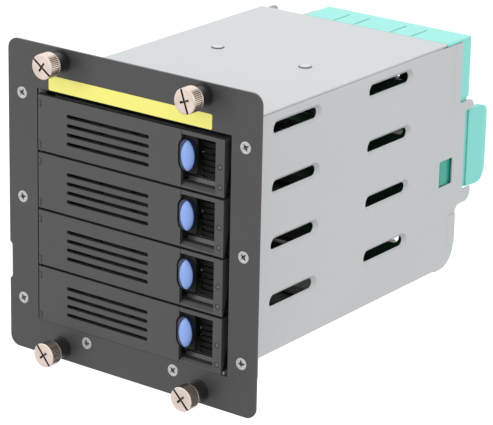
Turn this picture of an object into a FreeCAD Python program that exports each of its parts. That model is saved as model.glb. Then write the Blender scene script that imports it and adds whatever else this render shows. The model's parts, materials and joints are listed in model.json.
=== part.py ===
import FreeCAD, Part
import math
import os

Vector = FreeCAD.Vector

# Hot swap drive cage: a black front plate, a folded cage, four trays with lever doors,
# a backplane behind them and a fan module that snaps into the rear.
# Frame: +X to the right of the front plate, +Y to the rear, +Z up, millimetres.
# The origin is the centre of the front plate's front face.

# ------------------------------------------------------------------ drives and trays
TRAY_COUNT = 4
TRAY_PITCH = 29.2
TRAY_GAP = 1.3                  # open line between two tray faces
DRIVE_WIDTH = 101.6
DRIVE_LENGTH = 147.0
DRIVE_START = 12.0              # front face of a seated drive
DRIVE_HOLES = (28.5, 130.1)     # side screw holes, from the drive's front
DRIVE_HOLE_RISE = 6.35          # side screw holes, above the drive's underside
DRIVE_HOLE_RADIUS = 1.9
DRIVE_CLEARANCE = 0.3
TRAY_WALL = 1.6
TRAY_FLOOR = 1.2
TRAY_WALL_HEIGHT = 14.5
TRAY_LEDGE = 9.0                # floor left standing along each wall
TRAY_TAIL_GAP = 1.0             # tray's end in front of the drive's end
STAKE_RADIUS = 1.1
STAKE_RISES = (4.0, 8.8)
BOSS_WIDTH = 1.8                # bezel boss inside a tray's wall
RUNNER_RISE = 11.7              # underside of the runner, above the tray's underside
RUNNER_HEIGHT = 2.2
RUNNER_WIDTH = 2.9
RAIL_CLEARANCE = 0.2
RAIL_REACH = 4.1
RAIL_START = 9.0
SIDE_SPACE = 5.0                # between a tray's wall and the cage's wall

# ------------------------------------------------------------------ sheet metal cage
SHEET = 0.8
BEND = 0.6                      # inner bend radius
HEADROOM = 3.6                  # spare height above the tray pitches
TRAY_LIFT = 0.3                 # first tray above the cage floor
SIDE_OVERHANG = 14.0            # the side walls reach past the top cover
REAR_TAB = 14.0                 # the latch ears reach past the side wall
FLOOR_CUTBACK = 3.0             # the floor stops short of the cover's rear edge
FOOT_CORNER = 12.0              # rounded lower rear corner of a side wall
TOP_LEDGE = 8.0                 # inward flange under the top cover
JOGGLE_STEP = 0.4
JOGGLE_WIDTH = 6.4
SLOT_LENGTH = 39.0
SLOT_HEIGHT = 9.0
SLOT_BEVEL = 1.9                # how far the pressed rim closes the slot all round
SLOT_DEPTH = 1.2                # how far the rim is pressed inwards
SLOT_RIM = 0.7
SLOT_COLUMNS = (52.5, 131.5)
SLOT_FIRST_RISE = 25.15         # first slot row above the cage floor
SLOT_STEP_SHY = 0.4             # a slot row's step is this much less than the tray pitch
DIMPLE_SPACING = 53.8
DIMPLE_DEPTH = 102.0            # from the front face to the cover's two dimples
DIMPLE_RADIUS = 3.2
DIMPLE_HEIGHT = 0.7

# ------------------------------------------------------------------ front plate
PLATE_THICKNESS = 1.2
PLATE_SIDE_MARGIN = 17.25       # plate edge past the cage wall
PLATE_END_MARGIN = 18.25        # plate edge past the cage's top and floor
PLATE_CORNER = 5.5
OPENING_ABOVE = 2.95            # over the top tray's face
OPENING_BELOW = 0.25            # under the lowest tray's face
OPENING_LIP = 0.7               # the opening's right edge past the cage wall
FLANGE_END_CUT = 2.8            # the side flanges stop short of the cage's corners
FLANGE_SHY = 0.2                # and of the plate's edge
FOOT_FLANGE = 11.5
FOOT_FLANGE_WIDTH = 113.0
PLATE_SCREW_STEP = 52.8
FOOT_SCREW_SPACING = 53.6
NOTCH_CENTRE = -34.6
NOTCH_LENGTH = 19.5
NOTCH_DEPTH = 1.6
STRIP_LENGTH = 98.0
STRIP_HEIGHT = 7.4
STRIP_CENTRE = -1.1
STRIP_RISE = 0.25
STRIP_THICKNESS = 0.15

# ------------------------------------------------------------------ fasteners
SCREW_RADIUS = 1.5
SCREW_HEAD_RADIUS = 3.0
SCREW_LENGTH = 6.0
SCREW_FIT = 0.1
THUMB_SPACING = 85.0
THUMB_EDGE = 6.25               # thumbscrew axis to the plate's edge
THUMB_RADIUS = 6.2
THUMB_LENGTH = 7.0
THUMB_REACH = 14.0              # knob face in front of the plate, screw let out
THUMB_TRAVEL = 3.8
THUMB_FACE = 1.4
THUMB_WALL = 1.1
THUMB_TIP = 0.8
THUMB_SLOT = 1.1
RETAINER_RADIUS = 4.7
RETAINER_WALL = 1.3
RETAINER_COLLAR = 5.6
RETAINER_NECK = 3.0
SHANK_RADIUS = 1.6
SHANK_FIT = 0.06
WASHER_RADIUS = 2.9
WASHER_THICKNESS = 0.5

# ------------------------------------------------------------------ tray face and lever
FACE_PROUD = 0.3
FACE_DROP = 1.45                # the face hangs below the tray, over the cage floor's edge
FACE_LIP = 1.3                  # how deep the hanging lip is
FACE_RIGHT_GAP = 2.15           # face to the cage wall, right side
LEVER_LEFT_GAP = 0.3
LEVER_RIGHT = 30.35
LEVER_THICKNESS = 2.0
LEVER_RIB = 1.5
BARREL_RADIUS = 1.2
PIN_RADIUS = 0.6
PIN_FIT = 0.05
EAR_HEIGHT = 2.8
EAR_INSET = 3.0
EAR_FIT = 0.25
HOOK_REACH = 5.4
HOOK_HEIGHT = 7.0
VENT_SLOTS = 4
VENT_PITCH = 4.57
VENT_WIDTH = 1.9
VENT_LEFT = -38.95
VENT_RIGHT = 11.35
VENT_RISE = 11.9                # middle of the vents, above the tray's underside
FACE_BACK = 8.4
RECESS_BAR = 2.0
COLUMN_WIDTH = 5.1
COLUMN_WALL = 1.2
LOUVRE_COUNT = 7
LOUVRE_PITCH = 2.9
LOUVRE_OPEN = 1.5
LOUVRE_LENGTH = 12.0
LED_RISES = (12.8, 3.0)
PIPE_SIZE = 1.6
PIPE_FIT = 0.04
PIPE_RISES = (18.6, 16.0)
BUTTON_X = 33.4
BUTTON_RISE = 14.5
BUTTON_WIDTH = 7.8
BUTTON_HEIGHT = 15.0
BUTTON_PROUD = 2.6
BUTTON_TRAVEL = 3.0
BUTTON_EDGE = 3.4
BUTTON_SHOE = 1.2               # thickness of the shoe under the cap
BUTTON_NECK = 5.0
BUTTON_NECK_HEIGHT = 5.8
BUTTON_GAP = 0.3

# ------------------------------------------------------------------ springs
WIRE = 0.6
THUMB_SPRING_TURNS = 4
THUMB_SPRING_RADIUS = 2.4
BUTTON_SPRING_TURNS = 3
BUTTON_SPRING_RADIUS = 1.0
BUTTON_WIRE = 0.5

# ------------------------------------------------------------------ backplane
BOARD_GAP = 7.0                 # drive's end to the board
BOARD_THICKNESS = 1.6
BOARD_EDGE_GAP = 1.0
BOARD_SCREW_INSET = 4.5
AIR_SLOT_LENGTH = 72.0
AIR_SLOT_HEIGHT = 8.0
AIR_SLOT_CENTRE = 8.0
SEAT_WIDTH = 43.0
SEAT_HEIGHT = 6.2
SEAT_DEPTH = 6.6
SEAT_OFFSET = -14.0
SEAT_RISE = 2.6
BRACKET_REACH = 8.7
BRACKET_DEPTH = 7.6

# ------------------------------------------------------------------ fan module
FAN_SIZE = 80.0
FAN_DEPTH = 25.0
FAN_HOLE_INSET = 4.25           # screw hole's middle, from the fan's edge
FAN_HOLE_RADIUS = 2.2
FAN_RIM = 2.0                   # thinnest wall round the fan's bore
FAN_HUB_RADIUS = 16.8
FAN_BLADES = 7
FAN_TIP_GAP = 1.2
FAN_FIT = 0.2
FAN_INSET = 1.9
HOLDER_WALL = 4.6               # round the fan, wide enough for the latch pockets
HOLDER_SKIN = 1.2
HOLDER_FIT = 0.3
POCKET_DEPTH = 3.5
GUARD_RINGS = (13.0, 20.5, 27.5, 34.5)
GUARD_WIDTH = 1.6
TONGUE_SLITS = (-12.7, -0.2, 22.6, 35.3)
SLIT_WIDTH = 0.8
SLIT_LENGTH = 15.0
LATCH_THICKNESS = 1.4
LATCH_INSET = 0.9               # the arm's outer face behind the wall
BEAD_RADIUS = 0.9
BEAD_FIT = 0.05
BEAD_START = 1.8                # the bead's middle, from the holder's front
LATCH_HEIGHT = 42.0
LATCH_RISE = 29.3               # latch's middle above the holder's underside
LATCH_REACH = 18.2              # grip past the holder's rear face
LATCH_PAD = 15.5
WINDOW_DROP = 15.1              # window's lower edge below the latch's middle
WINDOW_HEIGHT = 14.0
WINDOW_START = 3.3              # from the holder's front
WINDOW_LENGTH = 12.2

# ------------------------------------------------------------------ worked out from these
TRAY_HALF = DRIVE_WIDTH / 2 + DRIVE_CLEARANCE + TRAY_WALL
INNER_HALF = TRAY_HALF + SIDE_SPACE
OUTER_HALF = INNER_HALF + SHEET
ROOF = (TRAY_COUNT * TRAY_PITCH + HEADROOM) / 2
FLOOR_TOP = -ROOF
OUTER_TOP = ROOF + SHEET
PLATE_HALF_WIDTH = OUTER_HALF + PLATE_SIDE_MARGIN
PLATE_HALF_HEIGHT = OUTER_TOP + PLATE_END_MARGIN
FLANGE_BACK = PLATE_THICKNESS + SHEET
DRIVE_END = DRIVE_START + DRIVE_LENGTH
BOARD_FRONT = DRIVE_END + BOARD_GAP
BOARD_BACK = BOARD_FRONT + BOARD_THICKNESS
HOLDER_START = BOARD_BACK + BRACKET_DEPTH + SHEET
COVER_END = HOLDER_START + 6.0
SIDE_END = COVER_END + SIDE_OVERHANG
TAB_END = SIDE_END + REAR_TAB
FACE_HEIGHT = TRAY_PITCH - TRAY_GAP
FACE_TOP = FACE_HEIGHT - FACE_DROP
FACE_RIGHT = INNER_HALF - FACE_RIGHT_GAP
COLUMN_LEFT = FACE_RIGHT - COLUMN_WIDTH
LED_X = FACE_RIGHT - COLUMN_WIDTH / 2
PIVOT_X = -INNER_HALF + LEVER_LEFT_GAP + BARREL_RADIUS
PIVOT_Y = BARREL_RADIUS - FACE_PROUD
LEVER_BACK = LEVER_THICKNESS - FACE_PROUD
LIP_BACK = FACE_LIP - FACE_PROUD
KEEPER_RIGHT = BUTTON_X - 4.0 + BUTTON_NECK + 1.0
SPRING_STOP_X = KEEPER_RIGHT + 7.0
STAKE_Y = (FACE_BACK + DRIVE_START) / 2
SLOT_PITCH = TRAY_PITCH - SLOT_STEP_SHY
TRAY_BASES = [FLOOR_TOP + TRAY_LIFT + step * TRAY_PITCH for step in range(TRAY_COUNT)]
OPENING_LOW = TRAY_BASES[0] - FACE_DROP - OPENING_BELOW
OPENING_HIGH = TRAY_BASES[-1] + FACE_TOP + OPENING_ABOVE
OPENING_LEFT = -INNER_HALF + 0.1
OPENING_RIGHT = OUTER_HALF + OPENING_LIP
SCREW_COLUMN = (OUTER_HALF + PLATE_HALF_WIDTH) / 2
FOOT_SCREW_Z = -OUTER_TOP - FOOT_FLANGE / 2
THUMB_Z = PLATE_HALF_HEIGHT - THUMB_EDGE
HOLDER_RIGHT = INNER_HALF - HOLDER_FIT
HOLDER_TOP = ROOF - HOLDER_FIT
FAN_BORE_RADIUS = FAN_SIZE / 2 - FAN_RIM
FAN_X = HOLDER_RIGHT - HOLDER_WALL - FAN_SIZE / 2
FAN_Z = HOLDER_TOP - HOLDER_WALL - FAN_SIZE / 2
HOLDER_LEFT = FAN_X - FAN_SIZE / 2 - HOLDER_WALL
HOLDER_LOW = FAN_Z - FAN_SIZE / 2 - HOLDER_WALL
FAN_FRONT = HOLDER_START + FAN_INSET
FAN_BACK = FAN_FRONT + FAN_DEPTH
HOLDER_END = FAN_BACK + FAN_FIT + HOLDER_SKIN
LATCH_END = HOLDER_END + LATCH_REACH
LATCH_Z = HOLDER_LOW + LATCH_RISE
LATCH_LOW = LATCH_Z - LATCH_HEIGHT / 2
LATCH_HIGH = LATCH_Z + LATCH_HEIGHT / 2
WINDOW_FRONT = HOLDER_START + WINDOW_START
WINDOW_LOW = LATCH_Z - WINDOW_DROP
WALL_X = HOLDER_LEFT - HOLDER_FIT
SHELF_Z = HOLDER_LOW - HOLDER_FIT

PLANES = {
    "xy": (Vector(1, 0, 0), Vector(0, 1, 0), Vector(0, 0, 1)),
    "xz": (Vector(1, 0, 0), Vector(0, 0, 1), Vector(0, 1, 0)),
    "yz": (Vector(0, 1, 0), Vector(0, 0, 1), Vector(1, 0, 0)),
}


# ------------------------------------------------------------------ drawing helpers
def place(plane, flat, level):
    """A point of a flat sketch, put into space on a plane at the given level."""
    across, up, normal = PLANES[plane]
    return across * flat.x + up * flat.y + normal * level


def outline(corners, plane, level):
    """Closed wire through (u, v) corners; a third number rounds that corner."""
    points = [Vector(corner[0], corner[1], 0) for corner in corners]
    stops = []
    for index, corner in enumerate(corners):
        point = points[index]
        radius = corner[2] if len(corner) > 2 else 0.0
        if radius == 0:
            stops.append((point, None, point))
            continue
        before = (points[index - 1] - point).normalize()
        after = (points[(index + 1) % len(points)] - point).normalize()
        half = before.getAngle(after) / 2
        reach = radius / math.tan(half)
        inward = (before + after).normalize()
        middle = point + inward * (radius / math.sin(half) - radius)
        stops.append((point + before * reach, middle, point + after * reach))
    edges = []
    for index, (start, middle, end) in enumerate(stops):
        if middle is not None:
            spots = [place(plane, spot, level) for spot in (start, middle, end)]
            edges.append(Part.Arc(*spots).toShape())
        following = stops[(index + 1) % len(stops)][0]
        if end.distanceToPoint(following) > 1e-6:
            ends = [place(plane, spot, level) for spot in (end, following)]
            edges.append(Part.LineSegment(*ends).toShape())
    return Part.Wire(edges)


def prism(corners, plane, low, high):
    """A sketch extruded from one level to another."""
    face = Part.Face(outline(corners, plane, low))
    return face.extrude(PLANES[plane][2] * (high - low))


def rectangle(left, right, low, high, radius=0.0):
    return [(left, low, radius), (right, low, radius), (right, high, radius), (left, high, radius)]


def stadium(centre_u, centre_v, length, height):
    """Corners of a slot with round ends."""
    left = centre_u - length / 2
    right = centre_u + length / 2
    low = centre_v - height / 2
    return rectangle(left, right, low, low + height, min(length, height) / 2)


def block(x, y, z):
    """Box between the two ends given for each axis."""
    return Part.makeBox(x[1] - x[0], y[1] - y[0], z[1] - z[0], Vector(x[0], y[0], z[0]))


def rod_x(y, z, radius, low, high):
    return Part.makeCylinder(radius, high - low, Vector(low, y, z), Vector(1, 0, 0))


def rod_y(x, z, radius, low, high):
    return Part.makeCylinder(radius, high - low, Vector(x, low, z), Vector(0, 1, 0))


def rod_z(x, y, radius, low, high):
    return Part.makeCylinder(radius, high - low, Vector(x, y, low), Vector(0, 0, 1))


def turned(profile, x, z):
    """(radius, y) profile turned about an axis along Y."""
    spots = [Vector(x + radius, y, z) for radius, y in profile]
    face = Part.Face(Part.makePolygon(spots + spots[:1]))
    return face.revolve(Vector(x, 0, z), Vector(0, 1, 0), 360)


def ring(x, z, inner, outer, low, high):
    return rod_y(x, z, outer, low, high).cut(rod_y(x, z, inner, low, high))


def joined(shapes):
    return shapes[0].multiFuse(shapes[1:]).removeSplitter()


def cut(shape, tools):
    return shape.cut(list(tools))


def folded_sheet(path, plane, low, high, thickness=SHEET, bend=BEND):
    """Sheet bent along an open path, with its thickness to the left of the path."""
    points = [Vector(u, v, 0) for u, v in path]
    runs = [(points[i + 1] - points[i]).normalize() for i in range(len(points) - 1)]
    lefts = [Vector(-run.y, run.x, 0) for run in runs]
    near = [(points[0].x, points[0].y)]
    start = points[0] + lefts[0] * thickness
    far = [(start.x, start.y)]
    for i in range(1, len(points) - 1):
        turn = runs[i - 1].x * runs[i].y - runs[i - 1].y * runs[i].x
        half = runs[i - 1].getAngle(runs[i]) / 2
        offset = (lefts[i - 1] + lefts[i]).normalize() * (thickness / math.cos(half))
        corner = points[i] + offset
        outer, inner = bend + thickness, bend
        near.append((points[i].x, points[i].y, outer if turn > 0 else inner))
        far.append((corner.x, corner.y, inner if turn > 0 else outer))
    near.append((points[-1].x, points[-1].y))
    end = points[-1] + lefts[-1] * thickness
    far.append((end.x, end.y))
    return prism(near + far[::-1], plane, low, high)


def coil(radius, wire, turns, length):
    """Helical spring of square wire, from the origin along +Z."""
    pitch = (length - wire) / turns
    helix = Part.makeHelix(pitch, length - wire, radius)
    half = wire / 2
    spots = [Vector(radius - half, 0, -half), Vector(radius + half, 0, -half),
             Vector(radius + half, 0, half), Vector(radius - half, 0, half)]
    section = Part.makePolygon(spots + spots[:1])
    spring = Part.Wire(helix.Edges).makePipeShell([section], True, True)
    spring.translate(Vector(0, 0, half))
    return spring


def turned_to_y(shape):
    return shape.rotate(Vector(0, 0, 0), Vector(1, 0, 0), -90)


def mirrored(shape):
    return shape.mirror(Vector(0, 0, 0), Vector(1, 0, 0))


def moved(shape, x=0.0, y=0.0, z=0.0):
    copy = shape.copy()
    copy.translate(Vector(x, y, z))
    return copy


def save(name, *solids):
    shape = solids[0] if len(solids) == 1 else Part.makeCompound(list(solids))
    shape.exportStep(f"parts/{name}.step")


# ------------------------------------------------------------------ front plate
def plate_screw_places():
    spots = [(side * SCREW_COLUMN, step * PLATE_SCREW_STEP) for side in (-1, 1) for step in (-1, 0, 1)]
    return spots + [(side * FOOT_SCREW_SPACING / 2, FOOT_SCREW_Z) for side in (-1, 1)]


def thumb_places():
    return {
        "top_left": (-THUMB_SPACING / 2, THUMB_Z),
        "top_right": (THUMB_SPACING / 2, THUMB_Z),
        "bottom_left": (-THUMB_SPACING / 2, -THUMB_Z),
        "bottom_right": (THUMB_SPACING / 2, -THUMB_Z),
    }


def front_plate():
    wide, high = PLATE_HALF_WIDTH, PLATE_HALF_HEIGHT
    notch_low = NOTCH_CENTRE - NOTCH_LENGTH / 2
    notch_high = NOTCH_CENTRE + NOTCH_LENGTH / 2
    edge = [(-wide, -high, PLATE_CORNER), (wide, -high, PLATE_CORNER),
            (wide, high, PLATE_CORNER), (-wide, high, PLATE_CORNER),
            (-wide, notch_high), (-wide + NOTCH_DEPTH, notch_high - NOTCH_DEPTH),
            (-wide + NOTCH_DEPTH, notch_low + NOTCH_DEPTH), (-wide, notch_low)]
    plate = prism(edge, "xz", 0, PLATE_THICKNESS)
    opening = rectangle(OPENING_LEFT, OPENING_RIGHT, OPENING_LOW, OPENING_HIGH, 0.6)
    tools = [prism(opening, "xz", 0, PLATE_THICKNESS)]
    for x, z in plate_screw_places():
        sink = [(0, 0), (SCREW_HEAD_RADIUS + SCREW_FIT, 0), (SCREW_RADIUS + SCREW_FIT, PLATE_THICKNESS),
                (0, PLATE_THICKNESS)]
        tools.append(turned(sink, x, z))
    for x, z in thumb_places().values():
        tools.append(rod_y(x, z, RETAINER_NECK + SCREW_FIT, 0, PLATE_THICKNESS))
    return cut(plate, tools)


def label_strip():
    low = OPENING_HIGH + STRIP_RISE
    left = STRIP_CENTRE - STRIP_LENGTH / 2
    corners = rectangle(left, left + STRIP_LENGTH, low, low + STRIP_HEIGHT, 0.8)
    return prism(corners, "xz", -STRIP_THICKNESS, 0)


def plate_screw(x, z):
    profile = [(0, 0), (SCREW_HEAD_RADIUS, 0), (SCREW_RADIUS, PLATE_THICKNESS),
               (SCREW_RADIUS, SCREW_LENGTH),
               (0, SCREW_LENGTH)]
    screw = turned(profile, x, z)
    cross = [block((x - 1.7, x + 1.7), (0, 0.9), (z - 0.35, z + 0.35)),
             block((x - 0.35, x + 0.35), (0, 0.9), (z - 1.7, z + 1.7))]
    return cut(screw, cross)


# ------------------------------------------------------------------ captive thumbscrews
RETAINER_FRONT = -THUMB_REACH + THUMB_FACE + THUMB_TRAVEL + 0.2
SPRING_SEAT = -1.2


def thumb_knob(x, z, slot_turn):
    face = -THUMB_REACH
    floor = face + THUMB_FACE
    skirt = face + THUMB_LENGTH
    bore = THUMB_RADIUS - THUMB_WALL
    profile = [(0, face), (THUMB_RADIUS - 0.5, face), (THUMB_RADIUS, face + 0.5),
               (THUMB_RADIUS, skirt - 0.3), (THUMB_RADIUS - 0.3, skirt), (bore, skirt), (bore, floor),
               (SHANK_RADIUS, floor), (SHANK_RADIUS, THUMB_TIP - 0.5), (SHANK_RADIUS - 0.5, THUMB_TIP),
               (0, THUMB_TIP)]
    knob = turned(profile, x, z)
    half = THUMB_SLOT / 2
    driver = [block((-THUMB_RADIUS, THUMB_RADIUS), (face, face + 0.9), (-half, half)),
              block((-2.6, 2.6), (face, face + 1.1), (-half, half)),
              block((-half, half), (face, face + 1.1), (-2.6, 2.6))]
    for tool in driver:
        tool.rotate(Vector(0, 0, 0), Vector(0, 1, 0), slot_turn)
        tool.translate(Vector(x, 0, z))
    return cut(knob, driver)


def thumb_washer(x, z):
    low = -THUMB_REACH + THUMB_FACE + SHANK_FIT
    return ring(x, z, SHANK_RADIUS + SHANK_FIT, WASHER_RADIUS, low, low + WASHER_THICKNESS)


def thumb_retainer(x, z):
    bore = SHANK_RADIUS + SHANK_FIT
    chamber = RETAINER_RADIUS - RETAINER_WALL
    back = PLATE_THICKNESS
    profile = [(chamber, RETAINER_FRONT), (RETAINER_RADIUS, RETAINER_FRONT), (RETAINER_RADIUS, -0.8),
               (RETAINER_COLLAR, -0.8), (RETAINER_COLLAR, 0), (RETAINER_NECK, 0), (RETAINER_NECK, back),
               (RETAINER_NECK + 0.7, back), (RETAINER_NECK + 0.5, back + 0.7), (bore, back + 0.7),
               (bore, SPRING_SEAT), (chamber, SPRING_SEAT)]
    return turned(profile, x, z)


def thumb_spring(x, z):
    start = -THUMB_REACH + THUMB_FACE + SHANK_FIT + WASHER_THICKNESS
    spring = turned_to_y(coil(THUMB_SPRING_RADIUS, WIRE, THUMB_SPRING_TURNS, SPRING_SEAT - start))
    return moved(spring, x, start, z)


# ------------------------------------------------------------------ cage
def slot_places():
    first = FLOOR_TOP + SLOT_FIRST_RISE
    return [(y, first + row * SLOT_PITCH) for row in range(TRAY_COUNT) for y in SLOT_COLUMNS]


def slot_section(y, z, grow, depth):
    """Slot outline at a depth below the wall's outer face, for the right wall."""
    shrink = 2 * SLOT_BEVEL * depth / (SLOT_DEPTH + SHEET)
    corners = stadium(y, z, SLOT_LENGTH - shrink + grow, SLOT_HEIGHT - shrink + grow)
    return outline(corners, "yz", OUTER_HALF - depth)


def pressed_slots():
    """Rims and holes of the right wall's ventilation slots."""
    rims, holes = [], []
    bottom = SLOT_DEPTH + SHEET
    for y, z in slot_places():
        rim = [slot_section(y, z, 2 * SLOT_RIM, SHEET / 2), slot_section(y, z, 2 * SLOT_RIM, bottom)]
        hole = [slot_section(y, z, 0, 0), slot_section(y, z, 0, bottom)]
        rims.append(Part.makeLoft(rim, True, True))
        holes.append(Part.makeLoft(hole, True, True))
    return rims, holes


def side_flange():
    """Front flange of the right wall, behind the plate."""
    path = [(INNER_HALF, 8.0), (INNER_HALF, PLATE_THICKNESS),
            (PLATE_HALF_WIDTH - FLANGE_SHY, PLATE_THICKNESS)]
    high = OUTER_TOP - FLANGE_END_CUT
    return folded_sheet(path, "xy", -high, high)


def foot_flange():
    """Front flange of the floor, with its ends cut short beside the lower thumbscrews."""
    path = [(8.0, FLOOR_TOP), (PLATE_THICKNESS, FLOOR_TOP), (PLATE_THICKNESS, -OUTER_TOP - FOOT_FLANGE)]
    half = FOOT_FLANGE_WIDTH / 2
    flange = folded_sheet(path, "yz", -half, half)
    ends = []
    for side in (-1, 1):
        reach = sorted((side * FOOT_SCREW_SPACING * 0.7, side * half))
        ends.append(block(reach, (0, FLANGE_BACK), (-OUTER_TOP - FOOT_FLANGE, -THUMB_Z + RETAINER_COLLAR)))
    return cut(flange, ends)


def joggled_strip(low, high):
    """Rear strip of the right wall, stepped outwards."""
    bend_start = SIDE_END - JOGGLE_WIDTH
    path = [(OUTER_HALF, bend_start - 8.0), (OUTER_HALF, bend_start),
            (OUTER_HALF + JOGGLE_STEP, bend_start + 0.8), (OUTER_HALF + JOGGLE_STEP, SIDE_END)]
    return folded_sheet(path, "xy", low, high, bend=0.3)


def right_rear():
    """The right wall behind the floor, with the latch ears and the latch window."""
    start = COVER_END - FLOOR_CUTBACK
    tab_low = LATCH_LOW - 7.75
    tab_high = LATCH_HIGH + 5.75
    gap_low = LATCH_LOW - 0.5
    gap_high = LATCH_HIGH + 0.5
    gap_front = SIDE_END + 6.0
    edge = [(start - 8.0, -OUTER_TOP), (start, -OUTER_TOP), (SIDE_END, -OUTER_TOP, FOOT_CORNER),
            (SIDE_END, tab_low, 4.0), (TAB_END, tab_low, 5.0), (TAB_END, gap_low),
            (gap_front, gap_low, 1.0),
            (gap_front, gap_high, 1.0), (TAB_END, gap_high), (TAB_END, tab_high, 4.5),
            (SIDE_END, tab_high, 2.0),
            (SIDE_END, ROOF - SHEET), (start - 8.0, ROOF - SHEET)]
    wall = prism(edge, "yz", INNER_HALF, OUTER_HALF)
    strips = []
    plain = []
    upper = (LATCH_HIGH + 6.0, ROOF - SHEET)
    lower = (-OUTER_TOP + FOOT_CORNER, tab_low - 4.0)
    for low, high in (lower, upper):
        plain.append(block((INNER_HALF, OUTER_HALF), (SIDE_END - JOGGLE_WIDTH - 4.0, SIDE_END),
                           (low, high)))
        strips.append(joggled_strip(low, high))
    window = rectangle(WINDOW_FRONT, WINDOW_FRONT + WINDOW_LENGTH, WINDOW_LOW, WINDOW_LOW + WINDOW_HEIGHT,
                       0.8)
    wall = cut(wall, plain + [prism(window, "yz", INNER_HALF, OUTER_HALF)])
    return joined([wall] + strips)


def left_rear():
    """The left wall behind the floor, plain, for the cables' way out."""
    start = COVER_END - FLOOR_CUTBACK
    edge = [(start - 8.0, -OUTER_TOP), (start, -OUTER_TOP), (SIDE_END, -OUTER_TOP, FOOT_CORNER),
            (SIDE_END, ROOF - SHEET, 4.0), (start - 8.0, ROOF - SHEET)]
    return prism(edge, "yz", -OUTER_HALF, -INNER_HALF)


def cage_body():
    rear = COVER_END - FLOOR_CUTBACK
    path = [(-OUTER_HALF + TOP_LEDGE, ROOF), (-OUTER_HALF, ROOF), (-OUTER_HALF, -OUTER_TOP),
            (OUTER_HALF, -OUTER_TOP), (OUTER_HALF, ROOF), (OUTER_HALF - TOP_LEDGE, ROOF)]
    trough = folded_sheet(path, "xz", FLANGE_BACK + BEND, rear)
    behind = (HOLDER_START - HOLDER_FIT, rear)
    trough = trough.cut(block((-INNER_HALF, INNER_HALF), behind, (ROOF - SHEET - BEND, ROOF)))
    corner = BEND + SHEET
    below = block((-OUTER_HALF - 1, OUTER_HALF + 1), (rear - 8.0, rear),
                  (-OUTER_TOP - 1, -OUTER_TOP + corner))
    tails = [right_rear().cut(below), left_rear().cut(below)]
    flanges = [side_flange(), mirrored(side_flange()), foot_flange()]
    rims, holes = pressed_slots()
    body = joined([trough] + tails + flanges + rims + [mirrored(rim) for rim in rims])
    tools = holes + [mirrored(hole) for hole in holes]
    for x, z in plate_screw_places():
        tools.append(rod_y(x, z, SCREW_RADIUS + SCREW_FIT, PLATE_THICKNESS, FLANGE_BACK))
    for base in TRAY_BASES:
        middle = base + (FACE_TOP - FACE_DROP) / 2
        catch = rectangle(PIVOT_Y + 3.2, PIVOT_Y + 8.2, middle - 5.0, middle + 5.0, 0.8)
        tools.append(prism(catch, "yz", -OUTER_HALF, -INNER_HALF))
    return cut(body, tools)


def top_cover():
    corners = rectangle(-OUTER_HALF, OUTER_HALF, FLANGE_BACK, COVER_END, 0.5)
    cover = prism(corners, "xy", ROOF, OUTER_TOP)
    sphere = (DIMPLE_RADIUS ** 2 + DIMPLE_HEIGHT ** 2) / (2 * DIMPLE_HEIGHT)
    for side in (-1, 1):
        centre = Vector(side * DIMPLE_SPACING / 2, DIMPLE_DEPTH, OUTER_TOP + DIMPLE_HEIGHT - sphere)
        cap = Part.makeSphere(sphere, centre)
        above = block((centre.x - 5, centre.x + 5), (centre.y - 5, centre.y + 5),
                      (OUTER_TOP - 0.2, OUTER_TOP + 2))
        cover = cover.fuse(cap.common(above))
    return cover.removeSplitter()


def guide_rail(base):
    """Channel on the right wall that the tray's runner slides in."""
    low = base + RUNNER_RISE - RAIL_CLEARANCE - SHEET
    high = base + RUNNER_RISE + RUNNER_HEIGHT + RAIL_CLEARANCE + SHEET
    inner = INNER_HALF - RAIL_REACH
    path = [(inner, low), (INNER_HALF, low), (INNER_HALF, high), (inner, high)]
    rail = folded_sheet(path, "xz", RAIL_START, DRIVE_END - TRAY_TAIL_GAP)
    corner = [(inner, RAIL_START), (inner + 3.0, RAIL_START), (inner, RAIL_START + 6.0)]
    return rail.cut(prism(corner, "xy", low, high))


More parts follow.
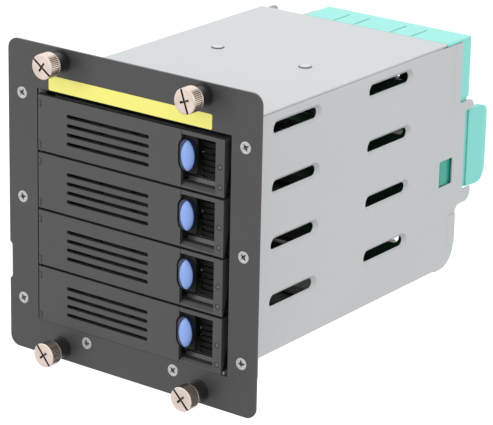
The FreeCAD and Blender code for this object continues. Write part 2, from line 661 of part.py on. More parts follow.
# ------------------------------------------------------------------ tray
def tray_frame():
    """Carrier under and beside the drive, in a tray's own frame (z = 0 underneath)."""
    end = DRIVE_END - TRAY_TAIL_GAP
    inner = TRAY_HALF - TRAY_WALL
    floor = prism(rectangle(-TRAY_HALF, TRAY_HALF, FACE_BACK, end, 1.0), "xy", 0, TRAY_FLOOR)
    wall_edge = [(FACE_BACK, 0), (end, 0), (end, 6.0, 2.0), (end - 8.0, TRAY_WALL_HEIGHT, 3.0),
                 (FACE_BACK, TRAY_WALL_HEIGHT)]
    parts = [floor]
    runner = [(TRAY_HALF - 0.4, FACE_BACK), (TRAY_HALF + RUNNER_WIDTH, FACE_BACK),
              (TRAY_HALF + RUNNER_WIDTH, end - 6.0), (TRAY_HALF, end - 2.0), (TRAY_HALF - 0.4, end - 2.0)]
    bar = prism(runner, "xy", RUNNER_RISE, RUNNER_RISE + RUNNER_HEIGHT)
    bar = bar.cut(block((inner, TRAY_HALF + RUNNER_WIDTH), (end - 8.0, end),
                        (RUNNER_RISE, RUNNER_RISE + 9)))
    saddle_y = (DRIVE_START + 30.0, DRIVE_END - 40.0)
    for side in (-1, 1):
        wall = prism(wall_edge, "yz", inner, TRAY_HALF)
        for piece in (wall, bar):
            parts.append(piece if side > 0 else mirrored(piece))
    lower_under, lower_over = PIPE_RISES[1] - PIPE_SIZE / 2, PIPE_RISES[1] + PIPE_SIZE / 2
    upper_under, upper_over = PIPE_RISES[0] - PIPE_SIZE / 2, PIPE_RISES[0] + PIPE_SIZE / 2
    pipe_side = LED_X - PIPE_SIZE / 2 - PIPE_FIT
    for y in saddle_y:
        along = (y, y + 3.0)
        parts.append(block((inner, TRAY_HALF), along, (TRAY_WALL_HEIGHT - 0.5, lower_under - PIPE_FIT)))
        parts.append(block((inner, pipe_side), along, (TRAY_WALL_HEIGHT - 0.5, upper_over)))
        parts.append(block((inner, LED_X), along, (lower_over + PIPE_FIT, upper_under - PIPE_FIT)))
    frame = joined(parts)
    tools = []
    window_length = (end - FACE_BACK - 4 * TRAY_LEDGE) / 3
    for step in range(3):
        low = FACE_BACK + TRAY_LEDGE + step * (window_length + TRAY_LEDGE)
        window = rectangle(-inner + TRAY_LEDGE, inner - TRAY_LEDGE, low, low + window_length, 3.0)
        tools.append(prism(window, "xy", 0, TRAY_FLOOR))
    for distance in DRIVE_HOLES:
        y = DRIVE_START + distance
        z = TRAY_FLOOR + DRIVE_HOLE_RISE
        tools.append(rod_x(y, z, DRIVE_HOLE_RADIUS, -TRAY_HALF, TRAY_HALF))
    for rise in STAKE_RISES:
        tools.append(rod_x(STAKE_Y, rise, STAKE_RADIUS + SCREW_FIT, -TRAY_HALF, TRAY_HALF))
    return cut(frame, tools)


def ear_spans():
    """Height ranges of the two bezel ears that carry the lever's pin."""
    high = FACE_TOP - EAR_INSET
    return [(0, EAR_HEIGHT), (high - EAR_HEIGHT, high)]


def tray_bezel():
    """Fixed front of a tray: hinge ears, vented wall, finger recess and light column."""
    front = -FACE_PROUD
    wall_front = FACE_BACK - 1.4
    left = PIVOT_X - BARREL_RADIUS
    recess_left = LEVER_RIGHT + 0.3
    wall = prism(rectangle(left, FACE_RIGHT, 0, FACE_TOP, 0.8), "xz", wall_front, FACE_BACK)
    lip_edge = [(front, -FACE_DROP), (LIP_BACK, -FACE_DROP), (LIP_BACK, 0),
                (FACE_BACK, 0), (FACE_BACK, FACE_TOP), (front, FACE_TOP)]
    column = prism(lip_edge, "yz", COLUMN_LEFT, FACE_RIGHT)
    sill_edge = [(front, -FACE_DROP), (LIP_BACK, -FACE_DROP), (LIP_BACK, 0), (FACE_BACK, 0),
                 (FACE_BACK, 2.8),
                 (5.6, 2.8), (5.0, 0.9), (LIP_BACK + 0.6, 0.9), (front, -FACE_DROP + 0.9)]
    corner_lip = rod_z(PIVOT_X, PIVOT_Y, BARREL_RADIUS, -FACE_DROP, 0)
    corner_lip = corner_lip.common(block((left, PIVOT_X + BARREL_RADIUS), (front, LIP_BACK),
                                         (-FACE_DROP, 0)))
    sill = prism(sill_edge, "yz", recess_left, COLUMN_LEFT)
    lintel = block((recess_left, COLUMN_LEFT), (front, FACE_BACK), (FACE_TOP - RECESS_BAR, FACE_TOP))
    shelf_front = LEVER_BACK + LEVER_RIB + 0.4
    shelf = block((PIVOT_X + 7.0, recess_left), (shelf_front, FACE_BACK), (0, 1.2))
    roof = block((PIVOT_X + 7.0, recess_left), (shelf_front, FACE_BACK), (FACE_TOP - 1.2, FACE_TOP))
    spring_stop = block((SPRING_STOP_X, SPRING_STOP_X + 1.0), (FACE_BACK - 0.4, DRIVE_START - 0.4),
                        (BUTTON_RISE - 2.0, BUTTON_RISE + 2.0))
    parts = [wall, column, sill, corner_lip, lintel, shelf, roof, spring_stop]
    for low, high in ear_spans():
        parts.append(rod_z(PIVOT_X, PIVOT_Y, BARREL_RADIUS, low, high))
        parts.append(block((left, PIVOT_X + BARREL_RADIUS), (PIVOT_Y, FACE_BACK), (low, high)))
    for side in (-1, 1):
        inner = side * (TRAY_HALF - TRAY_WALL)
        reach = sorted((inner - side * BOSS_WIDTH, inner))
        parts.append(block(reach, (FACE_BACK - 0.4, DRIVE_START - 0.4),
                           (TRAY_FLOOR, TRAY_WALL_HEIGHT - 2.0)))
        for rise in STAKE_RISES:
            stake = sorted((inner - side * 0.5, side * (TRAY_HALF + 0.3)))
            parts.append(rod_x(STAKE_Y, rise, STAKE_RADIUS, *stake))
    bezel = joined(parts)
    tools = [rod_z(PIVOT_X, PIVOT_Y, PIN_RADIUS, ear_spans()[0][0], ear_spans()[1][1])]
    tools += bezel_windows(wall_front)
    pocket = rectangle(COLUMN_LEFT + COLUMN_WALL, FACE_RIGHT - 0.8, 1.2, FACE_TOP - 1.2)
    tools.append(prism(pocket, "xz", 0.9, FACE_BACK))
    for rise in LED_RISES:
        half = PIPE_SIZE / 2 + PIPE_FIT
        tools.append(block((LED_X - half, LED_X + half), (front, 0.9), (rise - half, rise + half)))
    return cut(bezel, tools)


def bezel_windows(wall_front):
    """Air windows behind the lever, louvres in the recess and the button's guide slot."""
    tools = []
    bays = 3
    bay_left = VENT_LEFT - 5.0
    pitch = (VENT_RIGHT + 5.0 - bay_left) / bays
    for bay in range(bays):
        left = bay_left + bay * pitch
        window = rectangle(left, left + pitch - 2.4, 2.8, FACE_TOP - 2.8, 1.5)
        tools.append(prism(window, "xz", wall_front, FACE_BACK))
    louvre_right = COLUMN_LEFT - 1.0
    middle = (FACE_TOP - FACE_DROP) / 2
    for step in range(LOUVRE_COUNT):
        z = middle + (step - (LOUVRE_COUNT - 1) / 2) * LOUVRE_PITCH
        slot = stadium(louvre_right - LOUVRE_LENGTH / 2, z, LOUVRE_LENGTH, LOUVRE_OPEN)
        tools.append(prism(slot, "xz", wall_front, FACE_BACK))
    neck_left = BUTTON_X - 4.0
    guide = rectangle(neck_left - BUTTON_GAP, neck_left + BUTTON_NECK + BUTTON_TRAVEL + BUTTON_GAP,
                      BUTTON_RISE - BUTTON_NECK_HEIGHT / 2 - BUTTON_GAP,
                      BUTTON_RISE + BUTTON_NECK_HEIGHT / 2 + BUTTON_GAP, 0.5)
    tools.append(prism(guide, "xz", wall_front, FACE_BACK))
    return tools


def tray_lever():
    """Hinged door with vents, a barrel at its left end and a bite for the button."""
    front = -FACE_PROUD
    panel_edge = [(front, -FACE_DROP), (LIP_BACK, -FACE_DROP), (LIP_BACK, 0), (LEVER_BACK, 0),
                  (LEVER_BACK, FACE_TOP), (front, FACE_TOP)]
    panel = prism(panel_edge, "yz", PIVOT_X, LEVER_RIGHT)
    panel = cut(panel, [rod_z(PIVOT_X, PIVOT_Y, BARREL_RADIUS + EAR_FIT, -FACE_DROP, 0),
                        block((PIVOT_X, PIVOT_X + 0.5), (front, LIP_BACK), (-FACE_DROP, 0))])
    barrel = rod_z(PIVOT_X, PIVOT_Y, BARREL_RADIUS, 0, FACE_TOP)
    rib_right = LEVER_RIGHT - 6.0
    rib_left = PIVOT_X + 8.0
    ribs = []
    for low in (2.0, FACE_TOP - 3.2):
        ribs.append(block((rib_left, rib_right), (LEVER_BACK - 0.4, LEVER_BACK + LEVER_RIB),
                          (low, low + 1.2)))
    for x in (rib_left, VENT_RIGHT + 3.0, rib_right - 1.2):
        ribs.append(block((x, x + 1.2), (LEVER_BACK - 0.4, LEVER_BACK + LEVER_RIB), (2.0, FACE_TOP - 2.0)))
    middle = (FACE_TOP - FACE_DROP) / 2
    hook_edge = [(PIVOT_X - 1.0, PIVOT_Y), (PIVOT_X + 2.6, PIVOT_Y), (PIVOT_X + 2.0, PIVOT_Y + 3.6),
                 (PIVOT_X + 0.4, PIVOT_Y + HOOK_REACH, 0.5),
                 (PIVOT_X - 1.1, PIVOT_Y + HOOK_REACH - 0.4, 0.4),
                 (PIVOT_X - 1.0, PIVOT_Y + 3.2)]
    hook = prism(hook_edge, "xy", middle - HOOK_HEIGHT / 2, middle + HOOK_HEIGHT / 2)
    lever = joined([panel, barrel, hook] + ribs)
    tools = [rod_z(PIVOT_X, PIVOT_Y, PIN_RADIUS + PIN_FIT, -FACE_DROP, FACE_TOP)]
    for low, high in ear_spans():
        reach = BARREL_RADIUS + EAR_FIT
        tools.append(block((PIVOT_X - reach, PIVOT_X + reach), (front, LEVER_BACK + 8),
                           (low - EAR_FIT, high + EAR_FIT)))
    vent_length = VENT_RIGHT - VENT_LEFT
    for step in range(VENT_SLOTS):
        z = VENT_RISE + (step - (VENT_SLOTS - 1) / 2) * VENT_PITCH
        slot = stadium(VENT_LEFT + vent_length / 2, z, vent_length, VENT_WIDTH)
        tools.append(prism(slot, "xz", front, LEVER_BACK + LEVER_RIB))
    gap = 0.9
    bite = stadium(BUTTON_X, BUTTON_RISE, BUTTON_WIDTH + 2 * gap, BUTTON_HEIGHT + 2 * gap)
    tools.append(prism(bite, "xz", front, LEVER_BACK))
    return cut(lever, tools)


def lever_pin():
    low = ear_spans()[0][0]
    high = ear_spans()[1][1]
    return rod_z(PIVOT_X, PIVOT_Y, PIN_RADIUS, low, high)


def release_button():
    """Pill-shaped cap on a sliding shoe, held by a neck through the bezel's wall."""
    shoe_front = LEVER_BACK + BUTTON_GAP
    shoe_back = shoe_front + BUTTON_SHOE
    cap = prism(stadium(BUTTON_X, BUTTON_RISE, BUTTON_WIDTH, BUTTON_HEIGHT), "xz", -BUTTON_PROUD,
                shoe_front + 0.2)
    front_edges = [edge for edge in cap.Edges if edge.BoundBox.YMax < -BUTTON_PROUD + 0.01]
    cap = cap.makeFillet(BUTTON_EDGE, front_edges)
    shoe_corners = rectangle(LEVER_RIGHT - 3.35, BUTTON_X + BUTTON_WIDTH / 2 + 0.9,
                             BUTTON_RISE - 8.9, BUTTON_RISE + 8.9, 1.5)
    shoe = prism(shoe_corners, "xz", shoe_front, shoe_back)
    neck_left = BUTTON_X - 4.0
    neck_low = BUTTON_RISE - BUTTON_NECK_HEIGHT / 2
    neck_back = FACE_BACK + BUTTON_GAP
    neck = block((neck_left, neck_left + BUTTON_NECK), (shoe_back - 0.2, neck_back + 0.2),
                 (neck_low, neck_low + BUTTON_NECK_HEIGHT))
    keeper_corners = rectangle(neck_left - 1.0, KEEPER_RIGHT, neck_low - 1.2,
                               neck_low + BUTTON_NECK_HEIGHT + 1.2, 0.6)
    keeper = prism(keeper_corners, "xz", neck_back, neck_back + 2.4)
    return joined([cap, shoe, neck, keeper])


def button_spring():
    spring = coil(BUTTON_SPRING_RADIUS, BUTTON_WIRE, BUTTON_SPRING_TURNS,
                  SPRING_STOP_X - KEEPER_RIGHT - 0.1)
    spring.rotate(Vector(0, 0, 0), Vector(0, 1, 0), 90)
    return moved(spring, KEEPER_RIGHT + 0.05, FACE_BACK + 1.8, BUTTON_RISE)


def light_pipes():
    """Two clear bars from the backplane's lamps to the front column."""
    rear = BOARD_FRONT - 1.2
    bends = ((3.0, 6.4), (4.2, 8.0))
    pipes = []
    for lamp, run, (first, second) in zip(LED_RISES, PIPE_RISES, bends):
        drop = PIPE_SIZE / 2
        path = [(-0.2, lamp - drop), (first, lamp - drop), (second, run - drop), (rear, run - drop)]
        pipes.append(folded_sheet(path, "yz", LED_X - PIPE_SIZE / 2, LED_X + PIPE_SIZE / 2, PIPE_SIZE, 0.5))
    return pipes


# ------------------------------------------------------------------ backplane
def board_screw_places():
    column = INNER_HALF - BOARD_SCREW_INSET
    return [(side * column, step * (ROOF - 9.0)) for side in (-1, 1) for step in (-1, 0, 1)]


def backplane_board():
    half = INNER_HALF - BOARD_EDGE_GAP
    board = prism(rectangle(-half, half, FLOOR_TOP + BOARD_EDGE_GAP, ROOF - BOARD_EDGE_GAP, 1.0),
                  "xz", BOARD_FRONT, BOARD_BACK)
    tools = [rod_y(x, z, SCREW_RADIUS + SCREW_FIT, BOARD_FRONT, BOARD_BACK)
             for x, z in board_screw_places()]
    for base in TRAY_BASES:
        slot = stadium(AIR_SLOT_CENTRE, base + SEAT_RISE + SEAT_HEIGHT + 10.0, AIR_SLOT_LENGTH,
                       AIR_SLOT_HEIGHT)
        tools.append(prism(slot, "xz", BOARD_FRONT, BOARD_BACK))
    return cut(board, tools)


def drive_seat(base):
    """Combined power and data receptacle that a drive plugs into."""
    left = SEAT_OFFSET - SEAT_WIDTH / 2
    low = base + SEAT_RISE
    front = BOARD_FRONT - SEAT_DEPTH
    body = block((left, left + SEAT_WIDTH), (front, BOARD_FRONT), (low, low + SEAT_HEIGHT))
    mouths = []
    split = left + SEAT_WIDTH * 0.62
    for start, end in ((left + 1.6, split - 0.9), (split + 0.9, left + SEAT_WIDTH - 1.6)):
        mouth = block((start, end), (front, BOARD_FRONT - 1.4), (low + 1.3, low + SEAT_HEIGHT - 1.3))
        tongue = block((start + 0.7, end - 0.7), (front + 0.6, BOARD_FRONT - 1.4), (low + 2.6, low + 3.7))
        mouths.append(mouth.cut(tongue))
    return cut(body, mouths)


def data_socket(base):
    """Shrouded data header on the backplane's rear."""
    x = -INNER_HALF + 17.0
    z = base + TRAY_PITCH / 2
    shell = block((x - 7.5, x + 7.5), (BOARD_BACK, BOARD_BACK + 8.4), (z - 3.2, z + 3.2))
    mouth = block((x - 6.2, x + 6.2), (BOARD_BACK + 1.4, BOARD_BACK + 8.4), (z - 2.0, z + 2.0))
    blade = block((x - 5.0, x + 5.0), (BOARD_BACK + 1.0, BOARD_BACK + 7.4), (z - 0.6, z + 0.6))
    return shell.cut(mouth).fuse(blade)


def power_inlet(x):
    """Four-pin disk power header on the backplane's rear."""
    z = FLOOR_TOP + 7.0
    back = BOARD_BACK + 12.0
    shell = prism([(x - 10.7, z - 4.4), (x + 10.7, z - 4.4), (x + 10.7, z + 2.4), (x + 8.7, z + 4.4),
                   (x - 8.7, z + 4.4), (x - 10.7, z + 2.4)], "xz", BOARD_BACK, back)
    mouth = prism([(x - 9.6, z - 3.3), (x + 9.6, z - 3.3), (x + 9.6, z + 2.0), (x + 8.2, z + 3.3),
                   (x - 8.2, z + 3.3), (x - 9.6, z + 2.0)], "xz", BOARD_BACK + 1.5, back)
    pins = [rod_y(x + step * 5.08, z, 1.05, BOARD_BACK + 1.0, back - 1.0)
            for step in (-1.5, -0.5, 0.5, 1.5)]
    return joined([shell.cut(mouth)] + pins)


def board_bracket():
    """Upright angle on the right wall that the board is screwed to."""
    path = [(INNER_HALF, BOARD_BACK + BRACKET_DEPTH), (INNER_HALF, BOARD_BACK),
            (INNER_HALF - BRACKET_REACH, BOARD_BACK)]
    half = ROOF - 2.0
    angle = folded_sheet(path[::-1], "xy", -half, half)
    holes = [rod_y(x, z, SCREW_RADIUS + SCREW_FIT, BOARD_BACK, BOARD_BACK + SHEET)
             for x, z in board_screw_places() if x > 0]
    return cut(angle, holes)


def board_screw(x, z):
    profile = [(0, BOARD_FRONT - 1.7), (2.0, BOARD_FRONT - 1.7), (2.7, BOARD_FRONT - 1.0),
               (2.7, BOARD_FRONT),
               (SCREW_RADIUS, BOARD_FRONT), (SCREW_RADIUS, BOARD_BACK + 3.4), (0, BOARD_BACK + 3.4)]
    return turned(profile, x, z)


# ------------------------------------------------------------------ fan module
def fan_bracket():
    """Folded wall and shelf that guide the fan holder on its left side and underneath."""
    path = [(INNER_HALF, SHELF_Z - 8.0), (INNER_HALF, SHELF_Z), (WALL_X, SHELF_Z), (WALL_X, ROOF),
            (WALL_X - TOP_LEDGE, ROOF)]
    bracket = folded_sheet(path, "xz", HOLDER_START, SIDE_END)
    window = rectangle(WINDOW_FRONT, WINDOW_FRONT + WINDOW_LENGTH, WINDOW_LOW, WINDOW_LOW + WINDOW_HEIGHT,
                       0.8)
    over = block((WALL_X - TOP_LEDGE, WALL_X - SHEET - BEND), (COVER_END, SIDE_END), (ROOF - SHEET, ROOF))
    return cut(bracket, [prism(window, "yz", WALL_X - SHEET, WALL_X), over])


def fan_holder():
    low, high = HOLDER_LOW, HOLDER_TOP
    shell = prism(rectangle(HOLDER_LEFT, HOLDER_RIGHT, low, high, 1.0), "xz", HOLDER_START, HOLDER_END)
    crown_right = OUTER_HALF
    crown = prism([(HOLDER_LEFT, high - 3.0), (HOLDER_RIGHT - 3.0, high - 3.0),
                   (HOLDER_RIGHT - 3.0, high - 0.2),
                   (crown_right, high - 0.2), (crown_right, OUTER_TOP, 0.7), (HOLDER_LEFT, OUTER_TOP, 1.5)],
                  "xz", COVER_END + HOLDER_FIT, HOLDER_END)
    cheek_low = LATCH_HIGH + 7.75 + HOLDER_FIT
    cheek = prism([(HOLDER_RIGHT - 1.0, cheek_low), (crown_right, cheek_low), (crown_right, OUTER_TOP, 2.5),
                   (HOLDER_RIGHT - 6.0, OUTER_TOP), (HOLDER_RIGHT - 6.0, high - 2.0),
                   (HOLDER_RIGHT - 1.0, high - 2.0)],
                  "xz", SIDE_END + HOLDER_FIT, HOLDER_END)
    holder = joined([shell, crown, cheek])
    half = FAN_SIZE / 2 + FAN_FIT
    nest = prism(rectangle(FAN_X - half, FAN_X + half, FAN_Z - half, FAN_Z + half, 3.0), "xz", HOLDER_START,
                 FAN_BACK + FAN_FIT)
    tools = [nest, rod_y(FAN_X, FAN_Z, FAN_BORE_RADIUS, FAN_BACK, HOLDER_END)]
    pocket = (LATCH_LOW - 0.5, LATCH_HIGH + 0.5)
    pocket_start = HOLDER_START + 2.2
    for side in (-1, 1):
        face = HOLDER_RIGHT if side > 0 else HOLDER_LEFT
        reach = sorted((face - side * POCKET_DEPTH, face + side * 2.0))
        tools.append(block(reach, (pocket_start, HOLDER_END), pocket))
        wall = INNER_HALF if side > 0 else WALL_X
        bead_x = wall - side * (LATCH_INSET + LATCH_THICKNESS / 2)
        tools.append(rod_z(bead_x, HOLDER_START + BEAD_START, BEAD_RADIUS + BEAD_FIT, *pocket))
    for x in TONGUE_SLITS:
        start = COVER_END + 1.2
        tools.append(block((x - SLIT_WIDTH / 2, x + SLIT_WIDTH / 2), (start, start + SLIT_LENGTH),
                           (high - HOLDER_WALL - 1, OUTER_TOP)))
    guard = [ring(FAN_X, FAN_Z, radius - GUARD_WIDTH / 2, radius + GUARD_WIDTH / 2,
                  HOLDER_END - HOLDER_SKIN, HOLDER_END)
             for radius in GUARD_RINGS]
    spoke = block((-0.9, 0.9), (HOLDER_END - HOLDER_SKIN, HOLDER_END),
                  (GUARD_RINGS[0], FAN_BORE_RADIUS + 1.0))
    for step in range(6):
        arm = spoke.copy()
        arm.rotate(Vector(0, 0, 0), Vector(0, 1, 0), step * 60 + 15)
        arm.translate(Vector(FAN_X, 0, FAN_Z))
        guard.append(arm)
    return joined([cut(holder, tools)] + guard)


def fan_frame():
    half = FAN_SIZE / 2
    body = prism(rectangle(FAN_X - half, FAN_X + half, FAN_Z - half, FAN_Z + half, 4.0), "xz", FAN_FRONT,
                 FAN_BACK)
    tools = [rod_y(FAN_X, FAN_Z, FAN_BORE_RADIUS, FAN_FRONT, FAN_BACK)]
    waist = Part.makeCompound([ring(FAN_X, FAN_Z, FAN_BORE_RADIUS + 1.6, FAN_SIZE, FAN_FRONT + 4.0,
                                    FAN_BACK - 4.0)])
    for side in (-1, 1):
        for level in (-1, 1):
            x = FAN_X + side * (half - FAN_HOLE_INSET)
            z = FAN_Z + level * (half - FAN_HOLE_INSET)
            tools.append(rod_y(x, z, FAN_HOLE_RADIUS, FAN_FRONT, FAN_BACK))
    body = cut(body, tools).cut(waist)
    cup_back = FAN_BACK - 3.4
    parts = [body, rod_y(FAN_X, FAN_Z, FAN_HUB_RADIUS, cup_back, FAN_BACK),
             ring(FAN_X, FAN_Z, 1.56, 4.4, FAN_FRONT + 9.0, cup_back + 0.2)]
    strut = block((-1.9, 1.9), (FAN_BACK - 2.4, FAN_BACK), (FAN_HUB_RADIUS - 1.0, FAN_BORE_RADIUS + 0.6))
    for step in range(4):
        arm = strut.copy()
        arm.rotate(Vector(0, 0, 0), Vector(0, 1, 0), step * 90 + 30)
        arm.translate(Vector(FAN_X, 0, FAN_Z))
        parts.append(arm)
    return joined(parts)


def blade_section(radius, chord, lean, middle):
    """Blade outline across a radius, as a thin leaning plate with a bowed back."""
    along = Vector(math.sin(lean), math.cos(lean), 0)
    normal = Vector(math.cos(lean), -math.sin(lean), 0)
    spots = []
    for share, bow in ((-0.5, 0.0), (0.0, 1.6), (0.5, 0.0), (0.5, 1.2), (0.0, 2.8), (-0.5, 1.2)):
        spot = along * (share * chord) + normal * bow
        spots.append(Vector(spot.x, middle + spot.y, radius))
    return Part.makePolygon(spots + spots[:1])


def fan_rotor():
    start = FAN_FRONT + 0.8
    end = FAN_BACK - 4.2
    middle = (start + end) / 2
    rim = FAN_HUB_RADIUS - 0.2
    profile = [(0, start), (rim - 1.5, start), (rim, start + 1.5), (rim, end), (rim - 1.6, end),
               (rim - 1.6, start + 2.4),
               (1.5, start + 2.4), (1.5, end - 1.0), (0, end - 1.0)]
    hub = turned(profile, 0, 0)
    root = blade_section(rim - 0.8, 13.0, math.radians(48), middle)
    tip = blade_section(FAN_BORE_RADIUS - FAN_TIP_GAP, 22.0, math.radians(64), middle)
    sweep = rod_y(0, 0, FAN_BORE_RADIUS - FAN_TIP_GAP, start, end)
    blade = Part.makeLoft([root, tip], True, True).common(sweep)
    parts = [hub]
    for step in range(FAN_BLADES):
        copy = blade.copy()
        copy.rotate(Vector(0, 0, 0), Vector(0, 1, 0), step * 360.0 / FAN_BLADES)
        parts.append(copy)
    return moved(joined(parts), FAN_X, 0, FAN_Z)


def fan_latch():
    """Arm with a hinge bead, a tooth behind the wall's window and a flared finger grip.

    It is drawn for the right side, with its outer face at x = 0.
    """
    start = HOLDER_START + BEAD_START
    bead = rod_z(-LATCH_THICKNESS / 2, start, BEAD_RADIUS, LATCH_LOW, LATCH_HIGH)
    edge = [(start, LATCH_LOW), (LATCH_END, LATCH_LOW, 9.0), (LATCH_END, LATCH_HIGH, 5.0),
            (start, LATCH_HIGH)]
    arm = prism(edge, "yz", -LATCH_THICKNESS, 0)
    pad_start = LATCH_END - LATCH_PAD
    flare = [(-0.4, pad_start), (0.9, pad_start, 0.3), (2.6, LATCH_END - 4.0, 8.0), (2.2, LATCH_END),
             (-0.4, LATCH_END)]
    pad = prism(flare, "xy", LATCH_LOW, LATCH_HIGH).common(prism(edge, "yz", -1.0, 4.0))
    tooth_start = WINDOW_FRONT + 0.6
    tooth_end = tooth_start + WINDOW_LENGTH * 0.64
    rise = LATCH_INSET - 0.15
    tooth = prism([(-0.2, tooth_start), (0, tooth_start), (rise, tooth_start + 2.0), (rise, tooth_end),
                   (-0.2, tooth_end)],
                  "xy", WINDOW_LOW + 0.4, WINDOW_LOW + WINDOW_HEIGHT - 0.4)
    return joined([arm, bead, pad, tooth])


# ------------------------------------------------------------------ the whole part
def main():
    os.makedirs("parts", exist_ok=True)
    save("front_plate", front_plate())
    save("label_strip", label_strip())
    save("plate_screws", *[plate_screw(x, z) for x, z in plate_screw_places()])
    save("cage_body", cage_body())
    save("top_cover", top_cover())
    rails = [guide_rail(base) for base in TRAY_BASES]
    save("guide_rails_right", *rails)
    save("guide_rails_left", *[mirrored(rail) for rail in rails])

    slot_turns = {"top_left": 35, "top_right": 70, "bottom_left": 50, "bottom_right": 45}
    places = thumb_places()
    for corner, (x, z) in places.items():
        save(f"thumbscrew_{corner}", thumb_knob(x, z, slot_turns[corner]))
        save(f"thumbscrew_washer_{corner}", thumb_washer(x, z))
        save(f"thumbscrew_spring_{corner}", thumb_spring(x, z))
    save("thumbscrew_retainers", *[thumb_retainer(x, z) for x, z in places.values()])

    tray_pieces = {
        "tray_frame": [tray_frame()], "tray_bezel": [tray_bezel()], "tray_lever": [tray_lever()],
        "lever_pin": [lever_pin()], "release_button": [release_button()],
        "button_spring": [button_spring()], "light_pipes": light_pipes(),
    }
    for number, base in enumerate(TRAY_BASES, start=1):
        for name, solids in tray_pieces.items():
            save(f"{name}_{number}", *[moved(solid, z=base) for solid in solids])

    save("backplane_board", backplane_board())
    save("drive_seats", *[drive_seat(base) for base in TRAY_BASES])
    save("data_sockets", *[data_socket(base) for base in TRAY_BASES])
    save("power_inlets", power_inlet(-12.0), power_inlet(24.0))
    save("backplane_brackets", board_bracket(), mirrored(board_bracket()))
    save("backplane_screws", *[board_screw(x, z) for x, z in board_screw_places()])

    save("fan_bracket", fan_bracket())
    save("fan_holder", fan_holder())
    save("fan_frame", fan_frame())
    save("fan_rotor", fan_rotor())
    save("fan_latch_right", moved(fan_latch(), x=INNER_HALF - LATCH_INSET))
    save("fan_latch_left", moved(mirrored(fan_latch()), x=WALL_X + LATCH_INSET))


main()
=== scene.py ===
import json
import math
import random

import bmesh
import bpy
from mathutils import Matrix, Vector


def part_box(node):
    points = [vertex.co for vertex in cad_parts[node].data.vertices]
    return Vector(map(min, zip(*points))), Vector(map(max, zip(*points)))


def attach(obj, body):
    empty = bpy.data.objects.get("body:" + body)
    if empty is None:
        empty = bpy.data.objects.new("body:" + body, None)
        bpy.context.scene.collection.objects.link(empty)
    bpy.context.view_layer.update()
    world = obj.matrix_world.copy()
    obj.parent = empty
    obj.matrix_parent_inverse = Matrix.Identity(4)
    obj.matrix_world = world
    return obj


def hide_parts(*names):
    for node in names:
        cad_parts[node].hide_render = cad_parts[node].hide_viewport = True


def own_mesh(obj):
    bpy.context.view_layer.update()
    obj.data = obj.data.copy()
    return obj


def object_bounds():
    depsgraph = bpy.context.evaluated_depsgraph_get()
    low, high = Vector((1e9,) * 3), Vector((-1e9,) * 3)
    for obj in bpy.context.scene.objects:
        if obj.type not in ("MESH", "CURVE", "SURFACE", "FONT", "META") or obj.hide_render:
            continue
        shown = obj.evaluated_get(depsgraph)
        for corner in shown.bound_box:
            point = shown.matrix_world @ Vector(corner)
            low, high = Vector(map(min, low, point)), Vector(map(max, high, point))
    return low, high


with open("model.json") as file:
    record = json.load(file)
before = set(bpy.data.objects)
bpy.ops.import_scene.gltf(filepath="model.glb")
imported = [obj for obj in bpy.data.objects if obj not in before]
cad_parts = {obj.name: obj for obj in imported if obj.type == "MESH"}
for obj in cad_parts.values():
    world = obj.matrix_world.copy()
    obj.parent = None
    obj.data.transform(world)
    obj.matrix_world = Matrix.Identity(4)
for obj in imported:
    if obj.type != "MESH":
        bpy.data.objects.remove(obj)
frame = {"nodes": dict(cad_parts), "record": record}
size_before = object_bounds()
random.seed(7)

MM = 0.001
CORNERS = ("top_left", "top_right", "bottom_left", "bottom_right")
TRAYS = (1, 2, 3, 4)
CAMERA_PLACE = (0.7372, -0.9072, 0.4162)
CAMERA_AZIMUTH = 36.40
CAMERA_ELEVATION = 19.27
CAMERA_ROLL = -1.21
CAMERA_LENS = 191.4


# ------------------------------------------------------------------ shader maths
class Value:
    """A number in a shader: a node's output that takes Python's + - * / and **."""

    def __init__(self, shader, socket):
        self.shader = shader
        self.socket = socket

    def math(self, operation, *others, swap=False):
        terms = (others[0], self) if swap else (self,) + others
        node = self.shader.tree.nodes.new("ShaderNodeMath")
        node.operation = operation
        for socket, term in zip(node.inputs, terms):
            self.shader.feed(socket, term)
        return Value(self.shader, node.outputs[0])

    def __add__(self, other):
        return self.math("ADD", other)

    def __radd__(self, other):
        return self.math("ADD", other)

    def __sub__(self, other):
        return self.math("SUBTRACT", other)

    def __rsub__(self, other):
        return self.math("SUBTRACT", other, swap=True)

    def __mul__(self, other):
        return self.math("MULTIPLY", other)

    def __rmul__(self, other):
        return self.math("MULTIPLY", other)

    def __truediv__(self, other):
        return self.math("DIVIDE", other)

    def __rtruediv__(self, other):
        return self.math("DIVIDE", other, swap=True)

    def __pow__(self, other):
        return self.math("POWER", other)

    def ramp(self, low, high):
        """0 below low, 1 above high, smooth between."""
        return self.shader.node("ShaderNodeMapRange", {"interpolation_type": "SMOOTHSTEP"},
                                Value=self, From_Min=low, From_Max=high)


